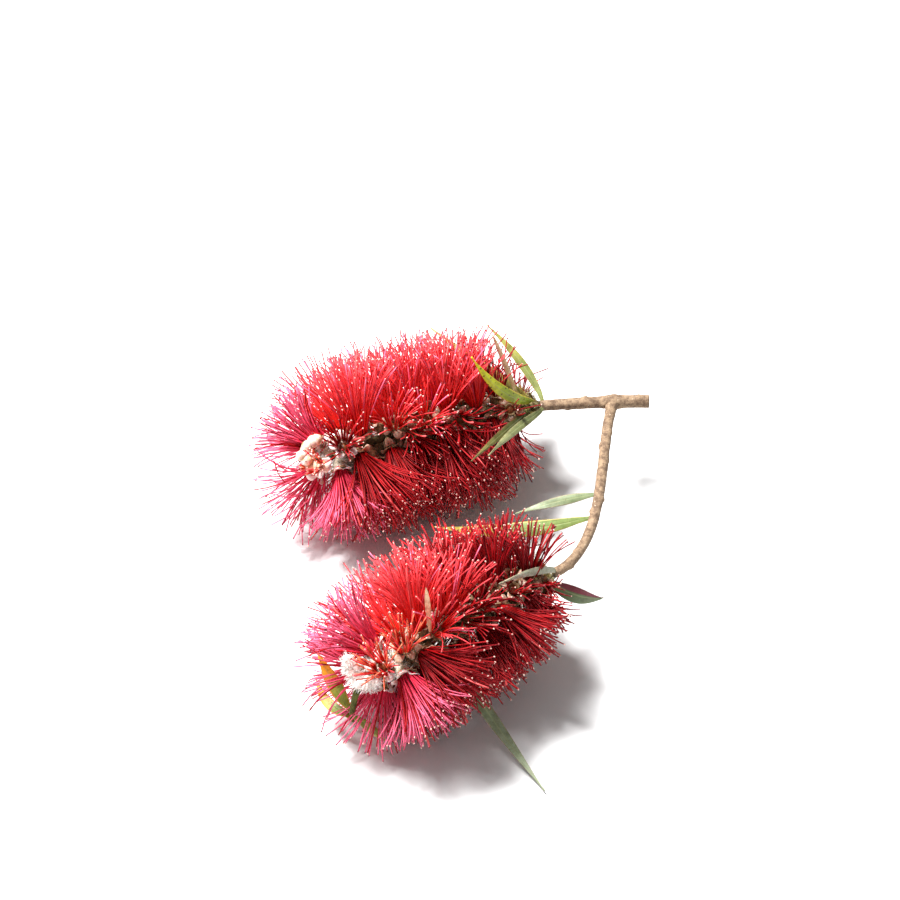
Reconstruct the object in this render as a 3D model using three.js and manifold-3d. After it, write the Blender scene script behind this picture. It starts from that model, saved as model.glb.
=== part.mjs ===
// A cut sprig of bottlebrush: two flower spikes on one forked, leafy twig, lying on a level surface.
// Millimetres, +Z up. The surface is z = 0, and the sprig's box is centred over the origin.
import * as THREE from 'three';
import { mergeVertices } from 'three/addons/utils/BufferGeometryUtils.js';
import Module from 'manifold-3d';

const wasm = await Module();
wasm.setup();

// ---- Driving dimensions ------------------------------------------------------------------------

const GAP = 0.3; // clearance between neighbouring pieces
const BOX_CENTRE = new THREE.Vector3(0.01, -30.87, 0); // middle of the sprig's box in the layout's axes

// Flower spikes. Each spike's axis runs level, from its base along a heading, and bows to one side.
// `phase` turns its spiral of flowers, in degrees, and `fallen` lists the flowers that have dropped.
const SPIKES = {
  upper_bloom: {
    baseX: 27.8, baseY: 19.3, height: 28, heading: 200.3, length: 72, bow: 4.3, bareEnd: 2, reach: 30.5,
    baseShrink: 0.24, phase: 222, fallen: [38], seed: 7,
  },
  lower_bloom: {
    baseX: 29.3, baseY: -49.3, height: 27, heading: 216.9, length: 66, bow: 2.5, bareEnd: 6, reach: 28.5,
    baseShrink: 0.42, phase: 34, fallen: [], seed: 23,
  },
};
const FLOWERS_PER_MM = 0.74;
const FIRST_FLOWER = 3.5; // from the spike's base; past the last flower the rachis is bare for `bareEnd`
const RACHIS_BASE_RADIUS = 1.7;
const RACHIS_TIP_RADIUS = 1;

// Flowers: a small cup on the rachis, and a brush of stamens that fans out of it.
const CUP_LENGTH = 5.2; // from the spike's axis to the cup's rim
const CUP_BASE_RADIUS = 1.1;
const CUP_RIM_RADIUS = 2.1;
const STAMENS = 5; // each stands for a tuft of the real flower's stamens
const STAMEN_RADIUS = 0.7;
const STAMEN_ROOT_DEPTH = 0.8; // how far below the cup's rim a stamen is rooted
const STAMEN_ROOT_SPREAD = 1.5; // from the cup's middle to its outermost root
const FAN = radians(26); // from a flower's middle to its outermost stamen
const BASE_LEAN = radians(10); // lean of the first flowers towards the spike's far end
const TIP_LEAN = radians(58); // lean of the last flowers, forward past the rachis
const TIP_SHRINK = 0.2; // how much shorter the last flowers' stamens are
const TIP_FAN = 0.35; // how much wider the last flowers' fans are
const END_EASE = 14; // how sharply the lean and the shrinking keep to the spike's far end
const FAN_EASE = 8; // the same for the wider fans
const BASE_EASE = 3; // how sharply the first flowers' lean and shrinking keep to the spike's base
const TURN_SPREAD = 0.2; // chance in a flower's place round the spike, in radians
const LEAN_SPREAD = 0.1; // in its lean
const LENGTH_SPREAD = 0.06; // in its length, as a share

// Along its face a spike's brush parts: flowers that point along FACE are short, narrow rosettes,
// and their neighbours' stamens swing to either side of the line.
const FACE = new THREE.Vector3(0, -1, 1).normalize();
const ROSETTE_FACING = 0.84; // cosine between a flower and FACE from which it is a rosette
const ROSETTE_FAN = 0.8;
const ROSETTE_LENGTH = 0.66;
const PARTED_FACING = 0.5; // cosine between a stamen and FACE from which it swings aside
const PARTED_SWING = 1.5; // sideways, for each unit of cosine past PARTED_FACING
const PARTED_FALL = 0.7; // and away from FACE

// Twigs.
const MAIN_LENGTH = 34; // from the cut end to the upper spike
const MAIN_CUT_RADIUS = 2.1;
const MAIN_TIP_RADIUS = 1.7;
const FORK_FROM_CUT = 11; // where the side twig leaves the main twig
const SIDE_BASE_RADIUS = 1.7;
const SIDE_TIP_RADIUS = 1.5;
const SIDE_SPLIT = 0.55; // fraction of the side branch at which its two lengths meet
const SIDE_LEAVES_MAIN = 21; // how far the side branch holds its first heading
const SIDE_FIRST_HEADING = radians(-107);
const SIDE_JOINS_SPIKE = 20; // how far it lines up with the lower spike

// Past its last flowers the lower spike grows on as a young shoot, which droops.
const SHOOT_REACH = 4.5; // how far it keeps the spike's line
const SHOOT_DROP = 17.5; // length of its drooping part
const SHOOT_HEADING = radians(102);
const SHOOT_RISE = radians(-78);
const SHOOT_TIP_RADIUS = 0.7;
const SHOOT_START = 0.7; // distance past the spike's end at which it begins

// Leaves. `along` is the distance from the far end of the stem it springs from. Heading and rise
// give the chord's direction in degrees. The midrib bows off the chord by `arch` over the blade's
// face and by `sway` to its side, and `roll` turns the blade about the chord.
const LEAF_THICKNESS = 0.62;
const LEAF_FOLD = 0.16; // rise of the blade's edges over the midrib, as a share of its half width
const LEAF_SKEW = 0.85; // below 1 the widest place lies nearer the foot than the tip
const LEAF_TAPER = 1.1; // above 1 the blade narrows more finely at both ends
const LEAF_TIP_HALF_WIDTH = 0.1;
const PETIOLE_HALF_WIDTH = 0.55;
const FOOT_GAP = 0.75; // from a stem's surface to the middle of a leaf's foot
const LEAVES = {
  upper_leaf_1: {
    stem: 'upper_bloom', along: 71, heading: 195.5, rise: 49, length: 31.3,
    width: 3.3, arch: 3, sway: 3, roll: -70,
  },
  upper_leaf_2: {
    stem: 'main', along: 1, heading: 131, rise: 26, length: 29,
    width: 2.4, arch: -1.1, sway: -1.6, roll: -25,
  },
  upper_leaf_3: {
    stem: 'upper_bloom', along: 70, heading: 152, rise: 23, length: 38,
    width: 2.8, arch: 3, sway: 1, roll: -30,
  },
  upper_leaf_4: {
    stem: 'upper_bloom', along: 69.2, heading: 236, rise: 9.5, length: 33.3,
    width: 2.2, arch: 0.8, sway: -0.4, roll: -40,
  },
  upper_leaf_5: {
    stem: 'main', along: 0.8, heading: 238.5, rise: 14, length: 34.5,
    width: 2.2, arch: -0.4, sway: -0.7, roll: -30,
  },
  side_leaf_1: {
    stem: 'side', along: 26, heading: 172, rise: -13, length: 47,
    width: 4.2, arch: -2, sway: 2.5, roll: -45,
  },
  side_leaf_2: {
    stem: 'side', along: 36, heading: 174, rise: -25, length: 25,
    width: 2.6, arch: -1.5, sway: -1, roll: -30,
  },
  lower_leaf_1: {
    stem: 'lower_bloom', along: 65.2, heading: 18, rise: -37, length: 21.5,
    width: 4.4, arch: 1.3, sway: -1.6, roll: 50,
  },
  lower_leaf_2: {
    stem: 'side', along: 0.8, heading: 224.5, rise: 28.5, length: 27,
    width: 1.8, arch: 1.5, sway: -1.4, roll: -60,
  },
  lower_leaf_3: {
    stem: 'lower_bloom', along: 26, heading: -49, rise: -29, length: 51,
    width: 3.4, arch: -6, sway: 0, roll: 20,
  },
  tip_leaf_1: {
    stem: 'shoot', along: 4.5, heading: 131, rise: 43, length: 18.3,
    width: 3.8, arch: 0.5, sway: 0.3, roll: -20,
  },
  tip_leaf_2: {
    stem: 'shoot', along: 1, heading: 130, rise: 7, length: 15,
    width: 2.8, arch: -0.4, sway: 2, roll: -20,
  },
  tip_leaf_3: {
    stem: 'shoot', along: 2.5, heading: -14.5, rise: -43, length: 12,
    width: 2.2, arch: 0, sway: 0, roll: 40,
  },
};

const YOUNG_LEAVES = ['upper_leaf_1', 'tip_leaf_1', 'tip_leaf_2', 'tip_leaf_3'];

// Room that the flowers leave round the leaves and the twigs, from middle to middle.
const CLEAR_OF_STAMEN = 2.1;
const CLEAR_OF_CUP = 2.7;
const LEAF_ROWS = 18; // rows of points at which a leaf is tested, from its foot to its tip
const LEAF_COLUMNS = [-1, -0.5, 0, 0.5, 1]; // the points of a row, from edge to edge
const TWIG_ROWS = 40;

// Mesh fineness.
const TWIG_SIDES = 8;
const RACHIS_SIDES = 7;
const CUP_SIDES = 5;
const STAMEN_SIDES = 3;
const LEAF_SIDES = 4;
const LEAF_STEPS = 10;
const TWIG_STEP = 6;

const UP = new THREE.Vector3(0, 0, 1);
const GOLDEN_ANGLE = Math.PI * (3 - Math.sqrt(5));

const bark = new THREE.MeshStandardMaterial({ color: 0x6b5038, roughness: 0.85, metalness: 0 });
const crimson = new THREE.MeshStandardMaterial({ color: 0xb5182a, roughness: 0.6, metalness: 0 });
const green = new THREE.MeshStandardMaterial({ color: 0x64792c, roughness: 0.55, metalness: 0 });
const young = new THREE.MeshStandardMaterial({ color: 0xa8ab2c, roughness: 0.5, metalness: 0 });

// ---- Helpers -----------------------------------------------------------------------------------

function radians(degrees) {
  return (degrees * Math.PI) / 180;
}

// A repeatable stream of numbers, the minimal standard generator.
class Seeded {
  constructor(seed) {
    this.state = seed;
  }

  next() {
    this.state = (this.state * 48271) % 2147483647;
    return this.state / 2147483647;
  }

  spread(half) {
    return (2 * this.next() - 1) * half;
  }
}

function direction(heading, rise = 0) {
  const level = Math.cos(rise);
  return new THREE.Vector3(level * Math.cos(heading), level * Math.sin(heading), Math.sin(rise));
}

// The part of `vector` that is square to `axis`, at unit length.
function squareTo(vector, axis) {
  return vector.clone().addScaledVector(axis, -vector.dot(axis)).normalize();
}

// A closed limb along a stretch of a curve. `halfWidth` runs along `across` and `halfDepth` square
// to it, both as functions of the fraction along the stretch. `fold` lifts the limb's edges.
function limb(curve, shape) {
  const { sides, steps, from = 0, to = 1, across, halfWidth, halfDepth = halfWidth, fold = 0 } = shape;
  const shell = new THREE.CylinderGeometry(1, 1, 1, sides, steps);
  const places = shell.getAttribute('position');
  const local = new THREE.Vector3();
  for (let i = 0; i < places.count; i += 1) {
    local.fromBufferAttribute(places, i);
    const t = local.y + 0.5;
    const station = THREE.MathUtils.lerp(from, to, t);
    const tangent = curve.getTangentAt(station);
    const side = squareTo(across, tangent);
    const normal = side.clone().cross(tangent);
    const width = halfWidth(t);
    const point = curve.getPointAt(station);
    point.addScaledVector(side, local.x * width);
    point.addScaledVector(normal, local.z * halfDepth(t) + Math.abs(local.x) * width * fold);
    places.setXYZ(i, point.x, point.y, point.z);
  }
  return shell;
}

// A geometry whose axis is Y, stood on `root` and turned to point along `heading`.
function aim(geometry, root, heading, turn) {
  geometry.rotateY(turn);
  geometry.applyQuaternion(new THREE.Quaternion().setFromUnitVectors(THREE.Object3D.DEFAULT_UP, heading));
  return geometry.translate(root.x, root.y, root.z);
}

function toSolid(geometry) {
  geometry.deleteAttribute('normal');
  geometry.deleteAttribute('uv');
  const merged = mergeVertices(geometry);
  const vertProperties = new Float32Array(merged.getAttribute('position').array);
  const triVerts = new Uint32Array(merged.index.array);
  return new wasm.Manifold(new wasm.Mesh({ numProp: 3, vertProperties, triVerts }));
}

function toGeometry(solid) {
  const mesh = solid.getMesh();
  const geometry = new THREE.BufferGeometry();
  geometry.setAttribute('position', new THREE.BufferAttribute(mesh.vertProperties, 3));
  geometry.setIndex(new THREE.BufferAttribute(mesh.triVerts, 1));
  geometry.computeVertexNormals();
  return geometry;
}

function fuse(geometries) {
  return toGeometry(geometries.map(toSolid).reduce((whole, piece) => whole.add(piece)));
}

// ---- Twigs -------------------------------------------------------------------------------------

function spikeAxis({ baseX, baseY, height, heading, length, bow }) {
  const base = new THREE.Vector3(baseX, baseY, height);
  const turned = (x, y) => new THREE.Vector3(x, y, 0).applyAxisAngle(UP, radians(heading)).add(base);
  return new THREE.QuadraticBezierCurve3(base, turned(length / 2, -2 * bow), turned(length, 0));
}

const axes = {
  upper_bloom: spikeAxis(SPIKES.upper_bloom),
  lower_bloom: spikeAxis(SPIKES.lower_bloom),
};

// The main twig runs from its cut end into line with the upper spike.
function mainCurve() {
  const end = axes.upper_bloom.getPoint(0);
  const back = axes.upper_bloom.getTangent(0).negate();
  const bend = end.clone().addScaledVector(back, MAIN_LENGTH / 2);
  const cut = bend.clone().add(new THREE.Vector3(MAIN_LENGTH / 2, 0, 0));
  return new THREE.QuadraticBezierCurve3(cut, bend, end);
}

const main = mainCurve();
const mainLength = main.getLength();

function sideCurve() {
  const fork = main.getPointAt(FORK_FROM_CUT / mainLength);
  const end = axes.lower_bloom.getPoint(0);
  const leave = fork.clone().addScaledVector(direction(SIDE_FIRST_HEADING), SIDE_LEAVES_MAIN);
  const join = end.clone().addScaledVector(axes.lower_bloom.getTangent(0), -SIDE_JOINS_SPIKE);
  return new THREE.CubicBezierCurve3(fork, leave, join, end);
}

// The tip shoot bends down from the far end of the lower spike.
function shootCurve() {
  const start = axes.lower_bloom.getPoint(1);
  const bend = start.clone().addScaledVector(axes.lower_bloom.getTangent(1), SHOOT_REACH);
  const end = bend.clone().addScaledVector(direction(SHOOT_HEADING, SHOOT_RISE), SHOOT_DROP);
  return new THREE.QuadraticBezierCurve3(start, bend, end);
}

const side = sideCurve();
const sideLength = side.getLength();
const shoot = shootCurve();
const stems = { main, side, shoot, ...axes };

function mainRadius(t) {
  return THREE.MathUtils.lerp(MAIN_CUT_RADIUS, MAIN_TIP_RADIUS, t);
}

function sideRadius(t) {
  return THREE.MathUtils.lerp(SIDE_BASE_RADIUS, SIDE_TIP_RADIUS, t);
}

function rachisRadius(t) {
  return THREE.MathUtils.lerp(RACHIS_BASE_RADIUS, RACHIS_TIP_RADIUS, t);
}

function shootRadius(t) {
  return THREE.MathUtils.lerp(RACHIS_TIP_RADIUS, SHOOT_TIP_RADIUS, t);
}

const stemRadius = {
  main: mainRadius,
  side: sideRadius,
  shoot: shootRadius,
  upper_bloom: rachisRadius,
  lower_bloom: rachisRadius,
};

function twig(curve, radius, from, to) {
  const length = curve.getLength() * (to - from);
  const halfWidth = (t) => radius(THREE.MathUtils.lerp(from, to, t));
  const steps = Math.ceil(length / TWIG_STEP);
  return limb(curve, { sides: TWIG_SIDES, steps, from, to, across: UP, halfWidth });
}

function mainTwig() {
  return twig(main, mainRadius, 0, 1 - GAP / mainLength);
}

// The side branch in two lengths, the first one hollowed at its foot to sit round the main twig.
function sideTwig() {
  const branch = toSolid(twig(side, sideRadius, 0, SIDE_SPLIT - GAP / sideLength));
  const berth = toSolid(twig(main, (t) => mainRadius(t) + GAP, 0, 1));
  return toGeometry(branch.subtract(berth));
}

function lowerStem() {
  return twig(side, sideRadius, SIDE_SPLIT, 1 - GAP / sideLength);
}

function tipShoot() {
  return twig(shoot, shootRadius, SHOOT_START / shoot.getLength(), 1);
}

// ---- Leaves ------------------------------------------------------------------------------------

// The blade widens from its petiole to just short of half its length, then narrows to its tip.
function bladeProfile(t) {
  return Math.max(0, Math.sin(Math.PI * t ** LEAF_SKEW)) ** LEAF_TAPER;
}

function layLeaf({ stem, along, heading, rise, length, width, arch, sway, roll }) {
  const curve = stems[stem];
  const station = 1 - along / curve.getLength();
  const chord = direction(radians(heading), radians(rise));
  const across = direction(radians(heading + 90)).applyAxisAngle(chord, radians(roll));
  const normal = chord.clone().cross(across);
  const out = squareTo(chord, curve.getTangentAt(station));
  const foot = curve.getPointAt(station).addScaledVector(out, stemRadius[stem](station) + FOOT_GAP);
  const middle = foot.clone().addScaledVector(chord, length / 2);
  middle.addScaledVector(normal, 2 * arch).addScaledVector(across, 2 * sway);
  const tip = foot.clone().addScaledVector(chord, length);
  const midrib = new THREE.QuadraticBezierCurve3(foot, middle, tip);
  const petiole = (t) => PETIOLE_HALF_WIDTH * (1 - t) ** 2;
  const halfWidth = (t) => Math.max(LEAF_TIP_HALF_WIDTH, petiole(t) + (bladeProfile(t) * width) / 2);
  return { midrib, across, halfWidth };
}

const leaves = Object.fromEntries(Object.entries(LEAVES).map(([name, sizes]) => [name, layLeaf(sizes)]));

function leafBlade({ midrib, across, halfWidth }) {
  const halfDepth = () => LEAF_THICKNESS / 2;
  const fineness = { sides: LEAF_SIDES, steps: LEAF_STEPS };
  return limb(midrib, { ...fineness, across, halfWidth, halfDepth, fold: LEAF_FOLD });
}

// ---- Blooms ------------------------------------------------------------------------------------

// Points spread over everything that the flowers keep clear of: the leaves and the twigs.
function keepOutPoints() {
  const points = [];
  for (const { midrib, across, halfWidth } of Object.values(leaves)) {
    for (let row = 0; row <= LEAF_ROWS; row += 1) {
      const t = row / LEAF_ROWS;
      const sideways = squareTo(across, midrib.getTangentAt(t));
      for (const share of LEAF_COLUMNS) {
        points.push(midrib.getPointAt(t).addScaledVector(sideways, share * halfWidth(t)));
      }
    }
  }
  for (const curve of [main, side, shoot]) {
    points.push(...curve.getSpacedPoints(TWIG_ROWS));
  }
  return points;
}

const keepOut = keepOutPoints();

function isClear(from, to, margin) {
  const line = new THREE.Line3(from, to);
  const nearest = new THREE.Vector3();
  const distance = (point) => line.closestPointToPoint(point, true, nearest).distanceTo(point);
  return keepOut.every((point) => distance(point) > margin);
}

// One flower's place on its spike: where it is rooted, where it points and how long its brush is.
function flowerAt(axis, { length, bareEnd, reach, baseShrink }, along, turn, chance) {
  const station = THREE.MathUtils.lerp(FIRST_FLOWER, length - bareEnd, along) / length;
  const centre = axis.getPointAt(station);
  const tangent = axis.getTangentAt(station);
  const level = UP.clone().cross(tangent);
  const radial = level.applyAxisAngle(tangent, turn + chance.spread(TURN_SPREAD));
  const nearBase = (1 - along) ** BASE_EASE;
  const nearTip = along ** END_EASE;
  const lean = BASE_LEAN * nearBase + TIP_LEAN * nearTip + chance.spread(LEAN_SPREAD);
  const out = radial.multiplyScalar(Math.cos(lean)).addScaledVector(tangent, Math.sin(lean));
  const shrink = baseShrink * nearBase + TIP_SHRINK * nearTip;
  const longest = reach - CUP_LENGTH + STAMEN_ROOT_DEPTH;
  const brush = longest * (1 - shrink) * (1 + chance.spread(LENGTH_SPREAD));
  const fan = FAN * (1 + TIP_FAN * along ** FAN_EASE);
  if (out.dot(FACE) > ROSETTE_FACING) {
    return { centre, out, brush: brush * ROSETTE_LENGTH, fan: fan * ROSETTE_FAN, parts: false };
  }
  return { centre, out, brush, fan, parts: true };
}

function cup({ centre, out }) {
  const shell = new THREE.CylinderGeometry(CUP_RIM_RADIUS, CUP_BASE_RADIUS, CUP_LENGTH, CUP_SIDES);
  return aim(shell.translate(0, CUP_LENGTH / 2, 0), centre, out, 0);
}

// A stamen's heading, swung off the line along which the brush parts.
function partedHeading(heading, out) {
  const excess = Math.max(0, heading.dot(FACE) - PARTED_FACING);
  heading.addScaledVector(squareTo(out, FACE), PARTED_SWING * excess);
  return heading.addScaledVector(FACE, -PARTED_FALL * excess).normalize();
}

// A flower's stamens, spread evenly over its fan. One that would reach a leaf or a twig is left
// out, and one that would pass through the surface ends on it.
function stamens({ centre, out, brush, fan, parts }, phase) {
  const middle = centre.clone().addScaledVector(out, CUP_LENGTH - STAMEN_ROOT_DEPTH);
  const square = squareTo(Math.abs(out.z) < 0.9 ? UP : new THREE.Vector3(1, 0, 0), out);
  const tufts = [];
  for (let i = 0; i < STAMENS; i += 1) {
    const share = Math.sqrt((i + 0.5) / STAMENS);
    const polar = fan * share;
    const swing = square.clone().applyAxisAngle(out, phase + i * GOLDEN_ANGLE);
    const root = middle.clone().addScaledVector(swing, STAMEN_ROOT_SPREAD * share);
    const straight = out.clone().multiplyScalar(Math.cos(polar)).addScaledVector(swing, Math.sin(polar));
    const heading = parts ? partedHeading(straight, out) : straight;
    const drop = heading.z < 0 ? root.z / -heading.z : brush;
    const length = Math.min(brush, drop);
    const tip = root.clone().addScaledVector(heading, length);
    if (isClear(root, tip, CLEAR_OF_STAMEN)) {
      const tuft = new THREE.ConeGeometry(STAMEN_RADIUS, length, STAMEN_SIDES);
      tufts.push(aim(tuft.translate(0, length / 2, 0), root, heading, phase));
    }
  }
  return tufts;
}

function bloom(name) {
  const axis = axes[name];
  const spike = SPIKES[name];
  const { length, bareEnd, phase, fallen, seed } = spike;
  const chance = new Seeded(seed);
  const steps = Math.ceil(length / TWIG_STEP);
  const pieces = [limb(axis, { sides: RACHIS_SIDES, steps, across: UP, halfWidth: rachisRadius })];
  const flowers = Math.round((length - bareEnd) * FLOWERS_PER_MM);
  for (let k = 0; k < flowers; k += 1) {
    const flower = flowerAt(axis, spike, (k + 0.5) / flowers, k * GOLDEN_ANGLE + radians(phase), chance);
    const waist = flower.centre.clone().addScaledVector(flower.out, CUP_LENGTH / 2);
    const rim = flower.centre.clone().addScaledVector(flower.out, CUP_LENGTH);
    if (!fallen.includes(k) && isClear(waist, rim, CLEAR_OF_CUP)) {
      pieces.push(cup(flower), ...stamens(flower, k));
    }
  }
  return fuse(pieces);
}

// ---- Assembly ----------------------------------------------------------------------------------

const sprig = new THREE.Group();
const layout = new THREE.Group();
layout.position.copy(BOX_CENTRE).negate();
sprig.add(layout);

function place(name, geometry, material) {
  const mesh = new THREE.Mesh(geometry, material);
  mesh.name = name;
  layout.add(mesh);
}

place('main_twig', mainTwig(), bark);
place('side_twig', sideTwig(), bark);
place('lower_stem', lowerStem(), bark);
place('tip_shoot', tipShoot(), bark);
place('upper_bloom', bloom('upper_bloom'), crimson);
place('lower_bloom', bloom('lower_bloom'), crimson);
for (const [name, leaf] of Object.entries(leaves)) {
  place(name, leafBlade(leaf), YOUNG_LEAVES.includes(name) ? young : green);
}

export default sprig;
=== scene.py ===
import logging
import math
from collections.abc import Callable, Iterable, Sequence
from dataclasses import dataclass
from enum import Enum

import bmesh
import bpy
import numpy as np
from bmesh.types import BMesh
from bpy.types import Material, Mesh, Node, NodeSocket, NodeTree, Object
from mathutils import Matrix, Quaternion, Vector, kdtree, noise


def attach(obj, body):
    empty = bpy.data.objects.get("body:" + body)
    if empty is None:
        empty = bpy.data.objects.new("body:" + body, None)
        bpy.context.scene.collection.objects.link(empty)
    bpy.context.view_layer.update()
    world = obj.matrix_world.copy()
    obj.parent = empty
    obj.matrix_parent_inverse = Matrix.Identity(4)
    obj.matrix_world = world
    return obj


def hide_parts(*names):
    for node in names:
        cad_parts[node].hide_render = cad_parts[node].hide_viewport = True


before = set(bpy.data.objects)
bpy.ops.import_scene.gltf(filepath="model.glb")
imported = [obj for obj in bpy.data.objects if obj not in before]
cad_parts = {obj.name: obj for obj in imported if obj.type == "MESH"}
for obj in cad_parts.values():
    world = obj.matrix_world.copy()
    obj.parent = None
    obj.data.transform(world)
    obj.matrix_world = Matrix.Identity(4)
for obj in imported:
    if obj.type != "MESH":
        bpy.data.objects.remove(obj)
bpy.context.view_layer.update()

log = logging.getLogger("sprig")

MM = 0.001
UP = Vector((0.0, 0.0, 1.0))
LEVEL = Vector((1.0, 0.0, 0.0))
FACE = Vector((0.0, -1.0, 1.0)).normalized()
FACE_UP = Vector((0.0, 1.0, 1.0)).normalized()
GOLDEN_ANGLE = math.pi * (3.0 - math.sqrt(5.0))
BOX_CENTRE = Vector((0.01, -30.87, 0.0))
LAYOUT_TO_FRAME = Matrix.Scale(MM, 4) @ Matrix.Translation(-BOX_CENTRE)
BODY = "root"
ALONG = "along"
CHART = "Blade"
WHITE = (1.0, 1.0, 1.0)

Triple = tuple[float, float, float]
Colour = Triple
Span = tuple[float, float]
Radius = Callable[[float, float, Vector], float]
Surface = Callable[[float, float], Vector]


# ---- Sizes, in millimetres and degrees ----


@dataclass(frozen=True)
class SpikeSizes:
    """One flower spike: its axis on the layout, its reach and the seed of its flowers."""

    base: Span
    height: float
    heading: float
    length: float
    bow: float
    shoot: float
    reach: float
    base_shrink: float
    phase: float
    fallen: tuple[int, ...]
    seed: int


@dataclass(frozen=True)
class FlowerSizes:
    """What every flower of both spikes shares with the solid spikes of the frame."""

    per_mm: float = 0.74
    first: float = 3.5
    cup_length: float = 5.2
    root_depth: float = 0.8
    base_lean: float = 10.0
    tip_lean: float = 58.0
    tip_shrink: float = 0.2
    tip_fan: float = 0.35
    turn_spread: float = 0.2
    lean_spread: float = 0.1
    brush_spread: float = 0.06
    end_ease: int = 14
    fan_ease: int = 8
    base_ease: int = 3
    rosette_facing: float = 0.84
    rosette_fan: float = 0.8
    rosette_length: float = 0.66
    parted_facing: float = 0.5
    parted_swing: float = 1.5
    parted_fall: float = 0.7


@dataclass(frozen=True)
class TwigSizes:
    """The main twig, the side branch and the young shoot."""

    main_length: float = 34.0
    fork_from_cut: float = 11.0
    side_start: float = 0.012
    side_split: float = 0.55
    side_overlap: float = 0.5
    side_leaves_main: float = 21.0
    side_first_heading: float = -107.0
    side_joins_spike: float = 20.0
    shoot_reach: float = 4.5
    shoot_drop: float = 17.5
    shoot_heading: float = 102.0
    shoot_rise: float = -78.0


@dataclass(frozen=True)
class LeafSizes:
    """Where one leaf springs from, how it lies and how large it is."""

    stem: str
    along: float
    heading: float
    rise: float
    length: float
    width: float
    arch: float
    sway: float
    roll: float


@dataclass(frozen=True)
class TipRing:
    """The ring of closed buds at a spike's far end, measured over the side that faces FACE."""

    count: int
    station: float
    lift: float
    forward: float
    radius: float
    first: float
    last: float
    half: Triple
    wool: int = 0


@dataclass(frozen=True)
class HairSizes:
    """One kind of hair on the flowers' cups, with the radius at each of its stations."""

    heights: Span
    girth: float
    rise: Span
    scatter: float
    length: Span
    tip_gain: float
    curl: float
    radii: tuple[float, ...]


SPIKES = {
    "upper_bloom": SpikeSizes((27.8, 19.3), 28.0, 200.3, 72.0, 4.3, 2.0, 30.5, 0.24, 222.0, (38,), 7),
    "lower_bloom": SpikeSizes((29.3, -49.3), 27.0, 216.9, 66.0, 2.5, 6.0, 28.5, 0.42, 34.0, (), 23),
}
FLOWER = FlowerSizes()
TWIG = TwigSizes()
STEM_RADII = {
    "main": (2.1, 1.7),
    "side": (1.7, 1.5),
    "shoot": (1.0, 0.7),
    "upper_bloom": (1.7, 1.0),
    "lower_bloom": (1.7, 1.0),
}
LEAVES = {
    "upper_leaf_1": LeafSizes("upper_bloom", 71.0, 195.5, 49.0, 31.3, 3.3, 3.0, 3.0, -70.0),
    "upper_leaf_2": LeafSizes("main", 1.0, 131.0, 26.0, 29.0, 2.4, -1.1, -1.6, -25.0),
    "upper_leaf_3": LeafSizes("upper_bloom", 70.0, 152.0, 23.0, 38.0, 2.8, 3.0, 1.0, -30.0),
    "upper_leaf_4": LeafSizes("upper_bloom", 69.2, 236.0, 9.5, 33.3, 2.2, 0.8, -0.4, -40.0),
    "upper_leaf_5": LeafSizes("main", 0.8, 238.5, 14.0, 34.5, 2.2, -0.4, -0.7, -30.0),
    "side_leaf_1": LeafSizes("side", 26.0, 172.0, -13.0, 47.0, 4.2, -2.0, 2.5, -45.0),
    "side_leaf_2": LeafSizes("side", 36.0, 174.0, -25.0, 25.0, 2.6, -1.5, -1.0, -30.0),
    "lower_leaf_1": LeafSizes("lower_bloom", 65.2, 18.0, -37.0, 21.5, 4.4, 1.3, -1.6, 50.0),
    "lower_leaf_2": LeafSizes("side", 0.8, 224.5, 28.5, 27.0, 1.8, 1.5, -1.4, -60.0),
    "lower_leaf_3": LeafSizes("lower_bloom", 26.0, -49.0, -29.0, 51.0, 3.4, -6.0, 0.0, 20.0),
    "tip_leaf_1": LeafSizes("shoot", 4.5, 131.0, 43.0, 18.3, 3.8, 0.5, 0.3, -20.0),
    "tip_leaf_2": LeafSizes("shoot", 1.0, 130.0, 7.0, 15.0, 2.8, -0.4, 2.0, -20.0),
    "tip_leaf_3": LeafSizes("shoot", 2.5, -14.5, -43.0, 12.0, 2.2, 0.0, 0.0, 40.0),
}
LEAF_FOLD = 0.16
LEAF_PETIOLE = 0.55
LEAF_THINNEST = 0.1
LEAF_FOOT_GAP = 0.75
LEAF_FOOT_SINK = 0.3
LEAF_SKEW = 0.85
LEAF_TAPER = 1.1
DRY_BRACTS = {
    "upper_bloom": (Vector((20.3, 20.3, 33.0)), Vector((12.7, 23.6, 54.0))),
    "lower_bloom": (Vector((-5.5, -76.0, 33.0)), Vector((-6.5, -76.6, 52.0))),
}
WINDOWS = {
    "upper_bloom": (0.25, 1.0, 12.0),
    "upper_leaf_1": (0.4, 1.0, 10.0),
    "upper_leaf_3": (0.55, 1.0, 9.0),
    "upper_leaf_4": (0.3, 1.0, 8.0),
    "upper_leaf_5": (0.4, 1.0, 8.0),
    "lower_leaf_1": (0.3, 1.0, 14.0),
    "tip_leaf_1": (0.35, 1.0, 16.0),
    "tip_leaf_2": (0.5, 1.0, 12.0),
}
TIP_RINGS = {
    "upper_bloom": TipRing(10, 1.0, 3.3, 6.0, 5.4, 75.0, 318.0, (1.8, 1.8, 2.0)),
    "lower_bloom": TipRing(15, 0.97, 4.3, 4.5, 6.3, 155.0, 300.0, (1.35, 1.35, 2.2), wool=55),
}
CUP_PROFILE = (
    (0.9, 0.8), (1.35, 1.9), (1.85, 3.0), (1.95, 4.0), (2.05, 5.1), (1.75, 5.2), (1.35, 4.5), (0.0, 4.1),
)
CUP_SIDES = 9
NECTARY_RADII = (1.5, 1.25)
NECTARY_THICKNESS = 0.35
NECTARY_HEIGHT = 4.45
WOOL_RADII = (0.09, 0.085, 0.075, 0.055, 0.015)
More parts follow.
